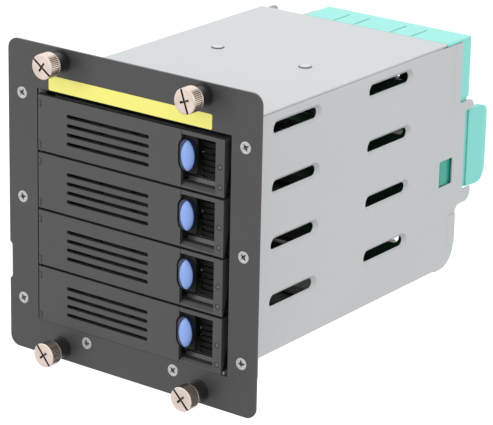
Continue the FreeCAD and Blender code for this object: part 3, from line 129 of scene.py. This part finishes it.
class Shader:
    """One material on a Principled surface."""

    def __init__(self, name):
        self.material = bpy.data.materials.new(name)
        self.material.use_nodes = True
        self.tree = self.material.node_tree
        self.surface = self.tree.nodes["Principled BSDF"]
        self.place = self.node("ShaderNodeTexCoord", output="Object")

    def feed(self, socket, term):
        if isinstance(term, Value):
            self.tree.links.new(term.socket, socket)
        else:
            socket.default_value = term

    def node(self, kind, settings=None, output=0, **inputs):
        """Any node: its type, then its settings, then its sockets by name (spaces as _)."""
        node = self.tree.nodes.new(kind)
        for key, value in (settings or {}).items():
            setattr(node, key, value)
        for key, term in inputs.items():
            self.feed(node.inputs[key.replace("_", " ")], term)
        return Value(self, node.outputs[output])

    def scaled(self, x, y, z):
        """Object coordinates stretched along each axis."""
        return self.node("ShaderNodeMapping", Vector=self.place, Scale=(x, y, z))

    def along(self, axis):
        """Object coordinate along one axis, in metres."""
        return self.node("ShaderNodeSeparateXYZ", output="XYZ".index(axis), Vector=self.place)

    def noise(self, per_metre, detail=3.0, stretch=None):
        """Soft noise from 0 to 1; per_metre sets its grain."""
        vector = self.scaled(*stretch) if stretch else self.place
        return self.node("ShaderNodeTexNoise", Vector=vector, Scale=per_metre, Detail=detail)

    def mix(self, factor, first, second):
        """Colour between two colours."""
        node = self.tree.nodes.new("ShaderNodeMix")
        node.data_type = "RGBA"
        self.feed(node.inputs[0], factor)
        self.feed(node.inputs[6], first)
        self.feed(node.inputs[7], second)
        return Value(self, node.outputs[2])

    def set(self, **inputs):
        for key, term in inputs.items():
            self.feed(self.surface.inputs[key.replace("_", " ")], term)

    def bump(self, height, depth):
        """Height 0..1 raised by depth metres."""
        self.set(Normal=self.node("ShaderNodeBump", Height=height, Distance=depth, Strength=1.0))


def rgb(red, green, blue):
    """An opaque colour in linear light."""
    return (red, green, blue, 1.0)


def scaled_tone(tone, share):
    return rgb(*(min(1.0, part * share) for part in tone))


# ------------------------------------------------------------------ materials
def powder_coat():
    """Black powder coating with a fine orange-peel grain."""
    shader = Shader("powder_coat")
    grain = shader.noise(2600, detail=2)
    cloud = shader.noise(40, detail=4)
    shader.set(Base_Color=shader.mix(cloud, rgb(0.020, 0.020, 0.0207), rgb(0.0255, 0.0255, 0.0262)),
               Roughness=0.42 + 0.12 * grain, Specular_IOR_Level=0.45)
    shader.bump(grain, 0.00003)
    return shader.material


def zinc_sheet(name, tone):
    """Matt zinc-plated sheet with faint rolling marks."""
    shader = Shader(name)
    rolling = shader.noise(900, detail=3, stretch=(1, 0.03, 1))
    cloud = shader.noise(28, detail=5)
    shader.set(Base_Color=shader.mix(cloud, scaled_tone(tone, 0.95), rgb(*tone)), Metallic=0.3,
               Roughness=0.5 + 0.1 * rolling)
    shader.bump(rolling, 0.000008)
    return shader.material


def plastic(name, tone, roughness, grain=1800, depth=0.00002, light=1.2, shine=0.5):
    """Moulded plastic with a spark-eroded grain."""
    shader = Shader(name)
    fine = shader.noise(grain, detail=2)
    cloud = shader.noise(35, detail=3)
    shader.set(Base_Color=shader.mix(cloud, rgb(*tone), scaled_tone(tone, light)),
               Roughness=roughness + 0.08 * fine, Specular_IOR_Level=shine)
    shader.bump(fine, depth)
    return shader.material


def shaded_plastic(name, near, far, start, end, roughness=0.42, axis="Y"):
    """Moulded plastic with painted shade: its colour goes from one tone to another along an axis, one tone
    for the lit part and the other for the part in shade.
    """
    shader = Shader(name)
    fine = shader.noise(1800, detail=2)
    cloud = shader.noise(60, detail=3)
    share = shader.along(axis).ramp(start, end)
    shader.set(Base_Color=shader.mix(share, rgb(*near), rgb(*far)), Roughness=roughness + 0.08 * cloud)
    shader.bump(fine, 0.000015)
    return shader.material


def metal(name, tone, roughness, worn=0.85):
    """Bare or plated metal; worn is how dark its dull patches are."""
    shader = Shader(name)
    fine = shader.noise(1200, detail=3)
    cloud = shader.noise(160, detail=5)
    shader.set(Base_Color=shader.mix(cloud, scaled_tone(tone, worn), rgb(*tone)), Metallic=1.0,
               Roughness=roughness + 0.1 * fine)
    shader.bump(fine, 0.000008)
    return shader.material


TRACKS_PER_METRE = 520


def circuit_board():
    """Green solder mask with pale tracks running up the board."""
    shader = Shader("circuit_board")
    lane = (shader.along("X") * TRACKS_PER_METRE).math("FRACT")
    track = lane.ramp(0.42, 0.5) * (1 - lane.ramp(0.62, 0.7))
    patch = shader.noise(55, detail=0).ramp(0.5, 0.54)
    line = track * patch
    shader.set(Base_Color=shader.mix(line, rgb(0.012, 0.075, 0.03), rgb(0.03, 0.15, 0.06)), Roughness=0.32)
    shader.bump(line, 0.00002)
    return shader.material


def looks():
    """The look of each material slot in the record."""
    return {
        "black_steel": powder_coat(),
        "zinc_sheet": zinc_sheet("zinc_sheet", (0.362, 0.376, 0.385)),
        "yellow_film": plastic("yellow_film", (0.52, 0.49, 0.10), 0.4, light=1.06),
        "bright_nickel": metal("bright_nickel", (0.66, 0.56, 0.50), 0.27, worn=0.62),
        "spring_steel": metal("spring_steel", (0.45, 0.45, 0.45), 0.3),
        "black_plastic": plastic("black_plastic", (0.0243, 0.0243, 0.025), 0.42, shine=0.45),
        # Painted shade: the button's blue turns dark navy behind the front of its cap (Y above -0.15 mm),
        # for its shaded flanks and pill.
        "button_blue": shaded_plastic("button_blue", (0.135, 0.225, 0.48), (0.006, 0.011, 0.045),
                                      -0.00045, -0.00015),
        "clear_plastic": plastic("clear_plastic", (0.05, 0.052, 0.05), 0.2),
        "board_green": circuit_board(),
        "socket_black": plastic("socket_black", (0.02, 0.02, 0.02), 0.4),
        "socket_cream": plastic("socket_cream", (0.5, 0.47, 0.4), 0.45),
        "fan_black": plastic("fan_black", (0.02, 0.02, 0.022), 0.4),
        "teal_plastic": plastic("teal_plastic", (0.13, 0.43, 0.39), 0.42, light=1.05),
    }


MATERIALS = looks()
SLOT_SHADE = metal("slot_shade", (0.10, 0.085, 0.075), 0.5)
SCREW_SHADE = metal("screw_shade", (0.10, 0.10, 0.10), 0.45)
PLATE_NICKEL = metal("plate_nickel", (0.47, 0.47, 0.47), 0.3, worn=0.6)
# Near-black painted shade for faces deep in the trays' recesses and behind the bezel's wall.
PAINTED_RECESS_SHADE = plastic("painted_recess_shade", (0.005, 0.005, 0.004), 0.6, shine=0.15)
RETAINER_BLACK = plastic("retainer_black", (0.010, 0.010, 0.010), 0.38, shine=0.35)
# Painted shade: the latch is dark teal where it lies behind the side wall (Y below 194 mm), plain teal from
# 198 mm.
LATCH_SHADED_TEAL = shaded_plastic("latch_shaded_teal", (0.012, 0.22, 0.17), (0.13, 0.43, 0.39), 0.194, 0.198)
# Painted shade: the dimples' zinc goes dark on their steep sides (Z below 61.42 mm), plain zinc above 61.63
# mm.
DIMPLE_SHADED_SHEET = shaded_plastic("dimple_shaded_sheet", (0.05, 0.052, 0.053), (0.37, 0.383, 0.392), 0.06142, 0.06163,
                              roughness=0.5, axis="Z")
# Near-black painted shade for the rims round the light pipes, the sheets behind the bezel's vents and
# louvres, and the block in the opening's lower corner.
SHADE_BLACK = plastic("painted_shade_black", (0.008, 0.008, 0.008), 0.8, grain=3000, depth=0.0002)
# Looks of single nodes, by the start of their names.
SPECIAL = {"fan_latch": LATCH_SHADED_TEAL, "thumbscrew_retainers": RETAINER_BLACK}


RECESS_DEPTH = 4 * MM
SILL_RISE = 3.2 * MM


def paint():
    """Each CAD node takes the look of its material slot."""
    for part in frame["record"]["subparts"]:
        name = part["node"]
        mesh = frame["nodes"][name].data
        mesh.materials.clear()
        special = [look for start, look in SPECIAL.items() if name.startswith(start)]
        mesh.materials.append(special[0] if special else MATERIALS[part["material_slot"]])
    for number in TRAYS:
        shade_recess(number)


def shade_recess(number):
    """The louvred wall deep in a tray's finger recess lies unlit, so it takes a near-black painted shade.
    """
    mesh = frame["nodes"][f"tray_bezel_{number}"].data
    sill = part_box(f"tray_frame_{number}")[0].z + SILL_RISE
    mesh.materials.append(PAINTED_RECESS_SHADE)
    for face in mesh.polygons:
        face.material_index = 1 if face.center.y > RECESS_DEPTH and face.center.z > sill else 0


# ------------------------------------------------------------------ mesh helpers
def piece(name, shape, material, body, replaces=(), smooth=False):
    """A bmesh as a named object that rides on a body and takes a material."""
    bmesh.ops.recalc_face_normals(shape, faces=shape.faces)
    mesh = bpy.data.meshes.new(name)
    shape.to_mesh(mesh)
    shape.free()
    for face in mesh.polygons:
        face.use_smooth = smooth
    mesh.materials.append(material)
    thing = bpy.data.objects.new(name, mesh)
    bpy.context.scene.collection.objects.link(thing)
    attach(thing, body)
    if replaces:
        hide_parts(*replaces)
    return thing


def frozen(thing):
    """The object's mesh with its modifiers or bevel worked out."""
    graph = bpy.context.evaluated_depsgraph_get()
    return bpy.data.meshes.new_from_object(thing.evaluated_get(graph))


def add_prism(shape, outline, low, high, turn=0.0, centre=(0.0, 0.0)):
    """Flat XZ outline carried from one Y to another."""
    ends = []
    for y in (low, high):
        ring = []
        for x, z in outline:
            across = centre[0] + x * math.cos(turn) + z * math.sin(turn)
            up = centre[1] - x * math.sin(turn) + z * math.cos(turn)
            ring.append(shape.verts.new((across, y, up)))
        ends.append(ring)
    shape.faces.new(ends[0])
    shape.faces.new(ends[1][::-1])
    count = len(outline)
    for index in range(count):
        after = (index + 1) % count
        shape.faces.new((ends[0][index], ends[0][after], ends[1][after], ends[1][index]))


def rounded(width, height, radius, steps=5):
    """Corners of a rectangle with round corners, about its middle."""
    spots = []
    for corner, (right, up) in enumerate(((1, 1), (-1, 1), (-1, -1), (1, -1))):
        for step in range(steps + 1):
            angle = math.radians(90 * (corner + step / steps))
            spots.append((right * (width / 2 - radius) + radius * math.cos(angle),
                          up * (height / 2 - radius) + radius * math.sin(angle)))
    return spots


def skin(shape, rings):
    """Faces between one ring of corners and the next; a ring may be a single point."""
    count = max(len(ring) for ring in rings)
    for first, second in zip(rings, rings[1:]):
        for step in range(count):
            after = (step + 1) % count
            corners = [first[step % len(first)], first[after % len(first)],
                       second[after % len(second)], second[step % len(second)]]
            unique = []
            for corner in corners:
                if corner not in unique:
                    unique.append(corner)
            shape.faces.new(unique)


def turned(shape, rows, centre, count, axis="Y"):
    """Turned body about an axis: rows of (radius, level, flute), closed on the axis at both ends."""
    rings = []
    for radius, level, flute in rows:
        ring = []
        for step in range(count if radius else 1):
            angle = 2 * math.pi * step / count
            reach = radius - (flute if step % 2 else 0)
            across, up = centre[0] + reach * math.cos(angle), centre[1] + reach * math.sin(angle)
            ring.append(shape.verts.new((across, level, up) if axis == "Y" else (across, up, level)))
        rings.append(ring)
    skin(shape, rings)


# ------------------------------------------------------------------ pieces
KNURL_TEETH = 42
KNURL_DEPTH = 0.4 * MM
SKIRT_LENGTH = 7.0 * MM
SKIRT_WALL = 1.1 * MM
HOLLOW_START = 1.4 * MM
SHANK_RADIUS = 1.6 * MM
SHANK_TIP = 1.1 * MM
SLOT_DEPTH = 1.0 * MM
SLOT_HALF_WIDTH = 0.55 * MM
SLOT_HALF_LENGTH = 7 * MM
CROSS_HALF_LENGTH = 2.7 * MM
SLOT_TURNS = {"top_left": 35, "top_right": 70, "bottom_left": 50, "bottom_right": 45}


def knob_rows(front, back, radius):
    """A knob's outline: face, rounded edge, knurled rim, hollow skirt and shank."""
    skirt = front + SKIRT_LENGTH
    hollow = front + HOLLOW_START
    face = [(0, front, 0), (radius - 0.8 * MM, front, 0), (radius - 0.5 * MM, front, 0),
            (radius - 0.1 * MM, front + 0.35 * MM, 0)]
    rim = [(radius - 0.05 * MM, front + 0.6 * MM, KNURL_DEPTH / 2), (radius, front + 0.9 * MM, KNURL_DEPTH),
           (radius, skirt - 0.7 * MM, KNURL_DEPTH)]
    edge = [(radius - 0.25 * MM, skirt - 0.35 * MM, 0), (radius - 0.6 * MM, skirt, 0),
            (radius - SKIRT_WALL, skirt, 0), (radius - SKIRT_WALL, hollow, 0)]
    shank = [(SHANK_RADIUS, hollow, 0), (SHANK_RADIUS, back - 0.5 * MM, 0), (SHANK_TIP, back, 0),
             (0, back, 0)]
    return face + rim + edge + shank


def carve(thing, cutter_shape):
    """Cuts a closed shape out of an object's mesh."""
    bmesh.ops.recalc_face_normals(cutter_shape, faces=cutter_shape.faces)
    cutter_mesh = bpy.data.meshes.new("cutter")
    cutter_shape.to_mesh(cutter_mesh)
    cutter_shape.free()
    cutter = bpy.data.objects.new("cutter", cutter_mesh)
    bpy.context.scene.collection.objects.link(cutter)
    cut = thing.modifiers.new("carve", "BOOLEAN")
    cut.operation = "DIFFERENCE"
    cut.solver = "EXACT"
    cut.object = cutter
    bpy.context.view_layer.update()
    carved = frozen(thing)
    thing.modifiers.remove(cut)
    thing.data = carved
    bpy.data.objects.remove(cutter)


def thumbscrew(corner):
    """Knurled nickel knob with a coin slot and a cross recess."""
    low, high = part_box("thumbscrew_" + corner)
    centre = ((low.x + high.x) / 2, (low.z + high.z) / 2)
    radius = (high.x - low.x) / 2
    front = low.y
    shape = bmesh.new()
    turned(shape, knob_rows(front, high.y, radius), centre, 2 * KNURL_TEETH)
    knob = piece("knob_" + corner, shape, MATERIALS["bright_nickel"], "screw_" + corner,
                 ["thumbscrew_" + corner])
    knob.data.materials.append(SLOT_SHADE)
    half, arm, long = SLOT_HALF_WIDTH, CROSS_HALF_LENGTH, SLOT_HALF_LENGTH
    cross = [(-long, -half), (-half, -half), (-half, -arm), (half, -arm), (half, -half), (long, -half),
             (long, half), (half, half), (half, arm), (-half, arm), (-half, half), (-long, half)]
    slot = bmesh.new()
    add_prism(slot, cross, front - SLOT_DEPTH, front + SLOT_DEPTH, math.radians(SLOT_TURNS[corner]), centre)
    carve(knob, slot)
    for face in knob.data.polygons:
        reach = math.hypot(face.center.x - centre[0], face.center.z - centre[1])
        deep = face.center.y - front
        inside = 0.02 * MM < deep < SLOT_DEPTH + 0.05 * MM and reach < radius - 0.75 * MM
        face.material_index = 1 if inside else 0


BUTTON_X = 33.4 * MM
PILL_WIDTH, PILL_HEIGHT, PILL_CORNER = 7.8 * MM, 15 * MM, 3.89 * MM
PILL_FRONT, PILL_BACK = -0.1 * MM, 2.1 * MM
SHOE_X, SHOE_WIDTH, SHOE_HEIGHT = 32.6 * MM, 11.2 * MM, 17.8 * MM
SHOE_FRONT, SHOE_BACK = 2.0 * MM, 3.2 * MM
NECK_X, NECK_WIDTH, NECK_HEIGHT = 31.9 * MM, 5.0 * MM, 5.8 * MM
KEEPER_WIDTH, KEEPER_HEIGHT = 7.0 * MM, 8.2 * MM
KEEPER_FRONT = 8.7 * MM
JOIN = 0.1 * MM                    # how far one layer of the button runs into the next
LENS_STEPS = 48
LENS_SHIFT = 1.0 * MM              # the lens's crown is right of the pill's middle
LENS_HALF_WIDTH, LENS_HALF_HEIGHT = 3.8 * MM, 7.35 * MM
LENS_ROWS = ((1, 0.05), (1, -0.3), (0.96, -0.75), (0.88, -1.25), (0.76, -1.72), (0.6, -2.12), (0.4, -2.4),
             (0.2, -2.55))         # share of the full size, and Y in millimetres


def lens(shape, rise, front):
    """Crowned cap with an almond outline."""
    rings = []
    for scale, level in LENS_ROWS:
        ring = []
        for step in range(LENS_STEPS):
            angle = 2 * math.pi * step / LENS_STEPS
            reach = (1 - abs(math.sin(angle)) ** 2.1) ** 0.72
            across = LENS_SHIFT + LENS_HALF_WIDTH * math.copysign(reach, math.cos(angle)) * scale
            up = LENS_HALF_HEIGHT * math.sin(angle) * scale ** 0.7
            ring.append(shape.verts.new((BUTTON_X + across, level * MM, rise + up)))
        rings.append(ring)
    back = shape.verts.new((BUTTON_X, LENS_ROWS[0][1] * MM, rise))
    crown = shape.verts.new((BUTTON_X + LENS_SHIFT, front, rise))
    skin(shape, [[back]] + rings + [[crown]])


def release_button(number):
    """Lens-shaped cap on a pill painted dark navy as shade, with its shoe, neck and keeper behind the
    bezel's wall in near-black painted shade.
    """
    low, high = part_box(f"release_button_{number}")
    rise = (low.z + high.z) / 2
    shape = bmesh.new()
    pill = rounded(PILL_WIDTH, PILL_HEIGHT, PILL_CORNER, 8)
    shoe = rounded(SHOE_WIDTH, SHOE_HEIGHT, 1.5 * MM)
    neck = rounded(NECK_WIDTH, NECK_HEIGHT, 0.1 * MM, 1)
    keeper = rounded(KEEPER_WIDTH, KEEPER_HEIGHT, 0.6 * MM, 2)
    add_prism(shape, pill, PILL_FRONT, PILL_BACK, centre=(BUTTON_X, rise))
    lens(shape, rise, low.y)
    add_prism(shape, shoe, SHOE_FRONT, SHOE_BACK, centre=(SHOE_X, rise))
    add_prism(shape, neck, SHOE_BACK - JOIN, KEEPER_FRONT + JOIN, centre=(NECK_X, rise))
    add_prism(shape, keeper, KEEPER_FRONT, high.y, centre=(NECK_X, rise))
    cap = piece(f"button_cap_{number}", shape, MATERIALS["button_blue"], f"button_{number}",
                [f"release_button_{number}"])
    # Faces from the shoe's front backwards take the near-black painted shade.
    cap.data.materials.append(PAINTED_RECESS_SHADE)
    for face in cap.data.polygons:
        face.use_smooth = face.center.y < -0.2 * MM
        face.material_index = 1 if face.center.y > SHOE_FRONT - 0.05 * MM else 0


SIDE_SCREW_X, SIDE_SCREW_PITCH = 67.125, 52.8      # in millimetres from the plate's middle
FOOT_SCREW_X, FOOT_SCREW_Z = 26.8, -66.75
SCREW_STEPS = 48
CROSS_RADIUS = 1.3
# Radius and Y in millimetres, and whether the ring is lobed.
SCREW_ROWS = ((0, 6, 0), (1.5, 6, 0), (1.5, 1.2, 0), (3.0, 0, 0), (2.92, -0.13, 0), (2.4, -0.2, 0),
              (2.1, -0.16, 0), (CROSS_RADIUS, -0.12, 1), (0.6, 0.8, 1), (0, 0.85, 0))


def screw_ring(shape, place, radius, level, turn):
    """Ring of corners about a screw's axis, with four lobes unless turn is None."""
    ring = []
    for step in range(SCREW_STEPS if radius else 1):
        angle = 2 * math.pi * step / SCREW_STEPS
        reach = radius
        if turn is not None:
            reach *= 0.8 + 0.95 * max(0, math.cos(4 * (angle - turn))) ** 1.5
        across, up = place[0] + reach * math.cos(angle), place[1] + reach * math.sin(angle)
        ring.append(shape.verts.new((across * MM, level * MM, up * MM)))
    return ring


def plate_screws():
    """Countersunk screws with a slightly raised rim and a cross recess."""
    places = [(side * SIDE_SCREW_X, step * SIDE_SCREW_PITCH) for side in (-1, 1) for step in (-1, 0, 1)]
    places += [(side * FOOT_SCREW_X, FOOT_SCREW_Z) for side in (-1, 1)]
    shape = bmesh.new()
    for place in places:
        turn = random.uniform(0, math.pi / 2)
        skin(shape, [screw_ring(shape, place, radius, level, turn if lobed else None)
                     for radius, level, lobed in SCREW_ROWS])
    screws = piece("plate_screw_heads", shape, PLATE_NICKEL, "chassis", ["plate_screws"])
    screws.data.materials.append(SCREW_SHADE)
    for face in screws.data.polygons:
        near = min(math.hypot(face.center.x - x * MM, face.center.z - z * MM) for x, z in places)
        inside = -0.12 * MM < face.center.y < 0.9 * MM and near < CROSS_RADIUS * MM
        face.material_index = 1 if inside else 0


DIMPLE_X, DIMPLE_Y = 26.9 * MM, 102 * MM
DIMPLE_ROWS = ((0, 0), (1.6, 0.02), (2.5, 0.08), (3.05, 0.25), (3.3, 0.5), (3.4, 0.72), (0, 0.8))


def cover_dimples():
    """Two pressed dimples on the top cover, each with a steep edge in painted shade."""
    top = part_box("top_cover")[1].z
    rows = [(radius * MM, top - depth * MM, 0) for radius, depth in DIMPLE_ROWS]
    shape = bmesh.new()
    for side in (-1, 1):
        turned(shape, rows, (side * DIMPLE_X, DIMPLE_Y), 40, "Z")
    piece("cover_dimples", shape, DIMPLE_SHADED_SHEET, "chassis", smooth=True)


COIL_STEPS = 20                    # corners in one turn of wire
END_TURN = 0.9                     # share of a turn that lies flat at each end
END_RISE = 0.95                    # wire diameters that an end's turn takes up


def coil(name, start, end, radius, wire, turns, body, node):
    """Round-wire compression spring from one point to another, closed at both ends."""
    start, end = Vector(start), Vector(end)
    axis = (end - start).normalized()
    side = axis.orthogonal().normalized()
    other = axis.cross(side)
    length = (end - start).length - wire
    data = bpy.data.curves.new(name, "CURVE")
    data.dimensions = "3D"
    data.bevel_depth = wire / 2
    data.bevel_resolution = 3
    line = data.splines.new("POLY")
    steps = int((turns + 2) * COIL_STEPS)
    line.points.add(steps)
    for step in range(steps + 1):
        turn = (turns + 2) * step / steps
        climb = min(max((turn - END_TURN) / (turns + 0.2), 0), 1)
        rise = wire / 2 + wire * 1.05 * min(turn, END_TURN)
        rise += (length - 2 * wire * END_RISE) * climb
        rise += wire * END_RISE * max(0, turn - turns - 2 + END_TURN) / END_TURN
        angle = 2 * math.pi * turn
        spot = start + axis * rise + side * radius * math.cos(angle) + other * radius * math.sin(angle)
        line.points[step].co = (*spot, 1)
    curve = bpy.data.objects.new(name + "_line", data)
    bpy.context.scene.collection.objects.link(curve)
    bpy.context.view_layer.update()
    mesh = frozen(curve)
    bpy.data.objects.remove(curve)
    mesh.materials.clear()
    mesh.materials.append(MATERIALS["spring_steel"])
    spring = bpy.data.objects.new(name, mesh)
    bpy.context.scene.collection.objects.link(spring)
    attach(spring, body)
    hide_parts(node)
    return spring


SCREW_WIRE, SCREW_COILS, THUMB_TRAVEL = 0.6 * MM, 4, 3.8 * MM
BUTTON_WIRE, BUTTON_COILS, BUTTON_TRAVEL = 0.5 * MM, 3, 3 * MM


def springs():
    """A coil for every spring, riding on the push of its thumbscrew or on its tray."""
    for corner in CORNERS:
        node = "thumbscrew_spring_" + corner
        low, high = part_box(node)
        x, z = (low.x + high.x) / 2, (low.z + high.z) / 2
        start, end = (x, low.y, z), (x, high.y, z)
        radius = (high.x - low.x) / 2 - SCREW_WIRE / 2
        spring = coil("screw_coil_" + corner, start, end, radius, SCREW_WIRE, SCREW_COILS,
                      "push_" + corner, node)
        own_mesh(spring)
    for number in TRAYS:
        node = f"button_spring_{number}"
        low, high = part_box(node)
        y, z = (low.y + high.y) / 2, (low.z + high.z) / 2
        start, end = (low.x, y, z), (high.x, y, z)
        radius = (high.z - low.z) / 2 - BUTTON_WIRE / 2
        spring = coil(f"button_coil_{number}", start, end, radius, BUTTON_WIRE, BUTTON_COILS,
                      f"tray_{number}", node)
        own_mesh(spring)


LAMP_RISES = (3.0 * MM, 12.8 * MM)
LAMP_RIM = ((1.5, 0.0), (1.5, -0.02), (1.35, -0.06), (1.1, -0.06), (1.0, 0.0))  # radius and Y in mm


def lamp_rings(number):
    """Thin near-black rim round each light pipe's end, painted shade in the gap round the pipe."""
    low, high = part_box(f"light_pipes_{number}")
    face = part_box(f"tray_bezel_{number}")[0].y
    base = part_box(f"tray_frame_{number}")[0].z
    x = (low.x + high.x) / 2
    circle = [math.radians(angle) for angle in range(0, 360, 15)]
    shape = bmesh.new()
    for rise in LAMP_RISES:
        rings = []
        for radius, y in LAMP_RIM:
            rings.append([shape.verts.new((x + radius * MM * math.cos(angle), face + y * MM,
                                           base + rise + radius * MM * math.sin(angle)))
                          for angle in circle])
        for first, second in zip(rings, rings[1:] + rings[:1]):
            for step in range(len(circle)):
                after = (step + 1) % len(circle)
                shape.faces.new((first[step], first[after], second[after], second[step]))
    piece(f"lamp_rims_{number}", shape, SHADE_BLACK, f"tray_{number}")


BEZEL_BACK = 8.4 * MM
VENT_SHEET_X, VENT_SHEET_RISE, VENT_SHEET = -13.8 * MM, 13.2 * MM, 0.4 * MM
LOUVRE_SHEET_X, LOUVRE_SHEET_RISE, LOUVRE_SHEET = 43.95 * MM, 12.4 * MM, 0.2 * MM


def shade_sheet(number):
    """Near-black sheets of painted shade on the back of the bezel's wall, behind the vents and the louvres.
    """
    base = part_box(f"tray_frame_{number}")[0].z
    shape = bmesh.new()
    add_prism(shape, rounded(61 * MM, 23 * MM, 1.5 * MM), BEZEL_BACK, BEZEL_BACK + VENT_SHEET,
              centre=(VENT_SHEET_X, base + VENT_SHEET_RISE))
    louvre_sheet_front = BEZEL_BACK + 0.02 * MM
    add_prism(shape, rounded(12.5 * MM, 21 * MM, 0.8 * MM), louvre_sheet_front, louvre_sheet_front + LOUVRE_SHEET,
              centre=(LOUVRE_SHEET_X, base + LOUVRE_SHEET_RISE))
    piece(f"shade_sheet_{number}", shape, SHADE_BLACK, f"tray_{number}")


CHIP_X, CHIP_RISE, CHIP_THICKNESS = -51.4 * MM, 14.6 * MM, 1.1 * MM
LEG_PITCH, LEG_REACH, LEG_THICKNESS = 1.27 * MM, 2.6 * MM, 0.35 * MM


def board_chips():
    """Flat driver chips with four legs a side, beside the data sockets."""
    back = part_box("backplane_board")[1].y
    shape = bmesh.new()
    for number in TRAYS:
        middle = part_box(f"tray_frame_{number}")[0].z + CHIP_RISE
        body = rounded(4.4 * MM, 5.6 * MM, 0.2 * MM, 2)
        leg = rounded(0.9 * MM, 0.4 * MM, 0.05 * MM, 1)
        add_prism(shape, body, back, back + CHIP_THICKNESS, centre=(CHIP_X, middle))
        for side in (-1, 1):
            for step in (-1.5, -0.5, 0.5, 1.5):
                add_prism(shape, leg, back, back + LEG_THICKNESS,
                          centre=(CHIP_X + side * LEG_REACH, middle + step * LEG_PITCH))
    piece("board_chips", shape, MATERIALS["socket_black"], "chassis")


SHADE_BLOCK_X, SHADE_BLOCK_Z = 57.43 * MM, -61.2 * MM
SHADE_BLOCK_FRONT, SHADE_BLOCK_BACK = 1.25 * MM, 3.4 * MM


def corner_shade_block():
    """Near-black block of painted shade against the right end of the foot flange, seen in the opening's
    lower corner.
    """
    shape = bmesh.new()
    outline = rounded(1.8 * MM, 4.6 * MM, 0.3 * MM, 2)
    add_prism(shape, outline, SHADE_BLOCK_FRONT, SHADE_BLOCK_BACK, centre=(SHADE_BLOCK_X, SHADE_BLOCK_Z))
    piece("corner_shade_block", shape, SHADE_BLACK, "chassis")


paint()
corner_shade_block()
for corner in CORNERS:
    thumbscrew(corner)
springs()
plate_screws()
cover_dimples()
for number in TRAYS:
    release_button(number)
    lamp_rings(number)
    shade_sheet(number)
board_chips()


# ------------------------------------------------------------------ camera, floor and light
def camera():
    """Looks at the part from the front right and above."""
    azimuth, elevation, roll = map(math.radians, (CAMERA_AZIMUTH, CAMERA_ELEVATION, CAMERA_ROLL))
    forward = Vector((-math.sin(azimuth) * math.cos(elevation), math.cos(azimuth) * math.cos(elevation),
                      -math.sin(elevation)))
    right = forward.cross(Vector((0, 0, 1))).normalized()
    down = forward.cross(right)
    across = right * math.cos(roll) + down * math.sin(roll)
    up = right * math.sin(roll) - down * math.cos(roll)
    data = bpy.data.cameras.new("camera")
    data.lens = CAMERA_LENS
    data.sensor_width = 36
    data.clip_end = 20
    view = bpy.data.objects.new("camera", data)
    facing = Matrix((across, up, -forward)).transposed().to_4x4()
    view.matrix_world = Matrix.Translation(CAMERA_PLACE) @ facing
    bpy.context.scene.collection.objects.link(view)
    bpy.context.scene.camera = view


FLOOR_DROP = 0.25                  # metres under the part
FLOOR_HALF = 6


def floor():
    """Pale flat floor under the part."""
    mesh = bpy.data.meshes.new("floor")
    shape = bmesh.new()
    level = size_before[0][2] - FLOOR_DROP
    shape.faces.new([shape.verts.new((right * FLOOR_HALF, back * FLOOR_HALF, level))
                     for right, back in ((-1, -1), (1, -1), (1, 1), (-1, 1))])
    shape.to_mesh(mesh)
    shape.free()
    ground = bpy.data.objects.new("floor", mesh)
    bpy.context.scene.collection.objects.link(ground)
    shader = Shader("floor")
    shader.set(Base_Color=rgb(0.66, 0.66, 0.66), Roughness=0.9)
    mesh.materials.append(shader.material)


def area_light(name, place, aim, size, power):
    data = bpy.data.lights.new(name, "AREA")
    data.shape = "RECTANGLE"
    data.size, data.size_y = size
    data.energy = power
    lamp = bpy.data.objects.new(name, data)
    lamp.location = place
    lamp.rotation_euler = (Vector(aim) - Vector(place)).to_track_quat("-Z", "Y").to_euler()
    bpy.context.scene.collection.objects.link(lamp)


SKY_STRENGTH = 1.75
KEY_POWER, FILL_POWER = 9, 1.5


def light():
    """Even white sky, with one small lamp low on the left and a weak one on the right."""
    world = bpy.data.worlds.new("studio")
    world.use_nodes = True
    sky = world.node_tree.nodes["Background"]
    sky.inputs["Color"].default_value = rgb(1, 1, 1)
    sky.inputs["Strength"].default_value = SKY_STRENGTH
    bpy.context.scene.world = world
    area_light("key", (-1.15, -1.25, 0.55), (0, 0, 0), (0.45, 0.45), KEY_POWER)
    area_light("fill", (1.6, -0.4, 0.7), (0, 0.1, 0), (0.8, 1.2), FILL_POWER)
    bpy.context.scene.view_settings.view_transform = "Standard"


camera()
floor()
light()
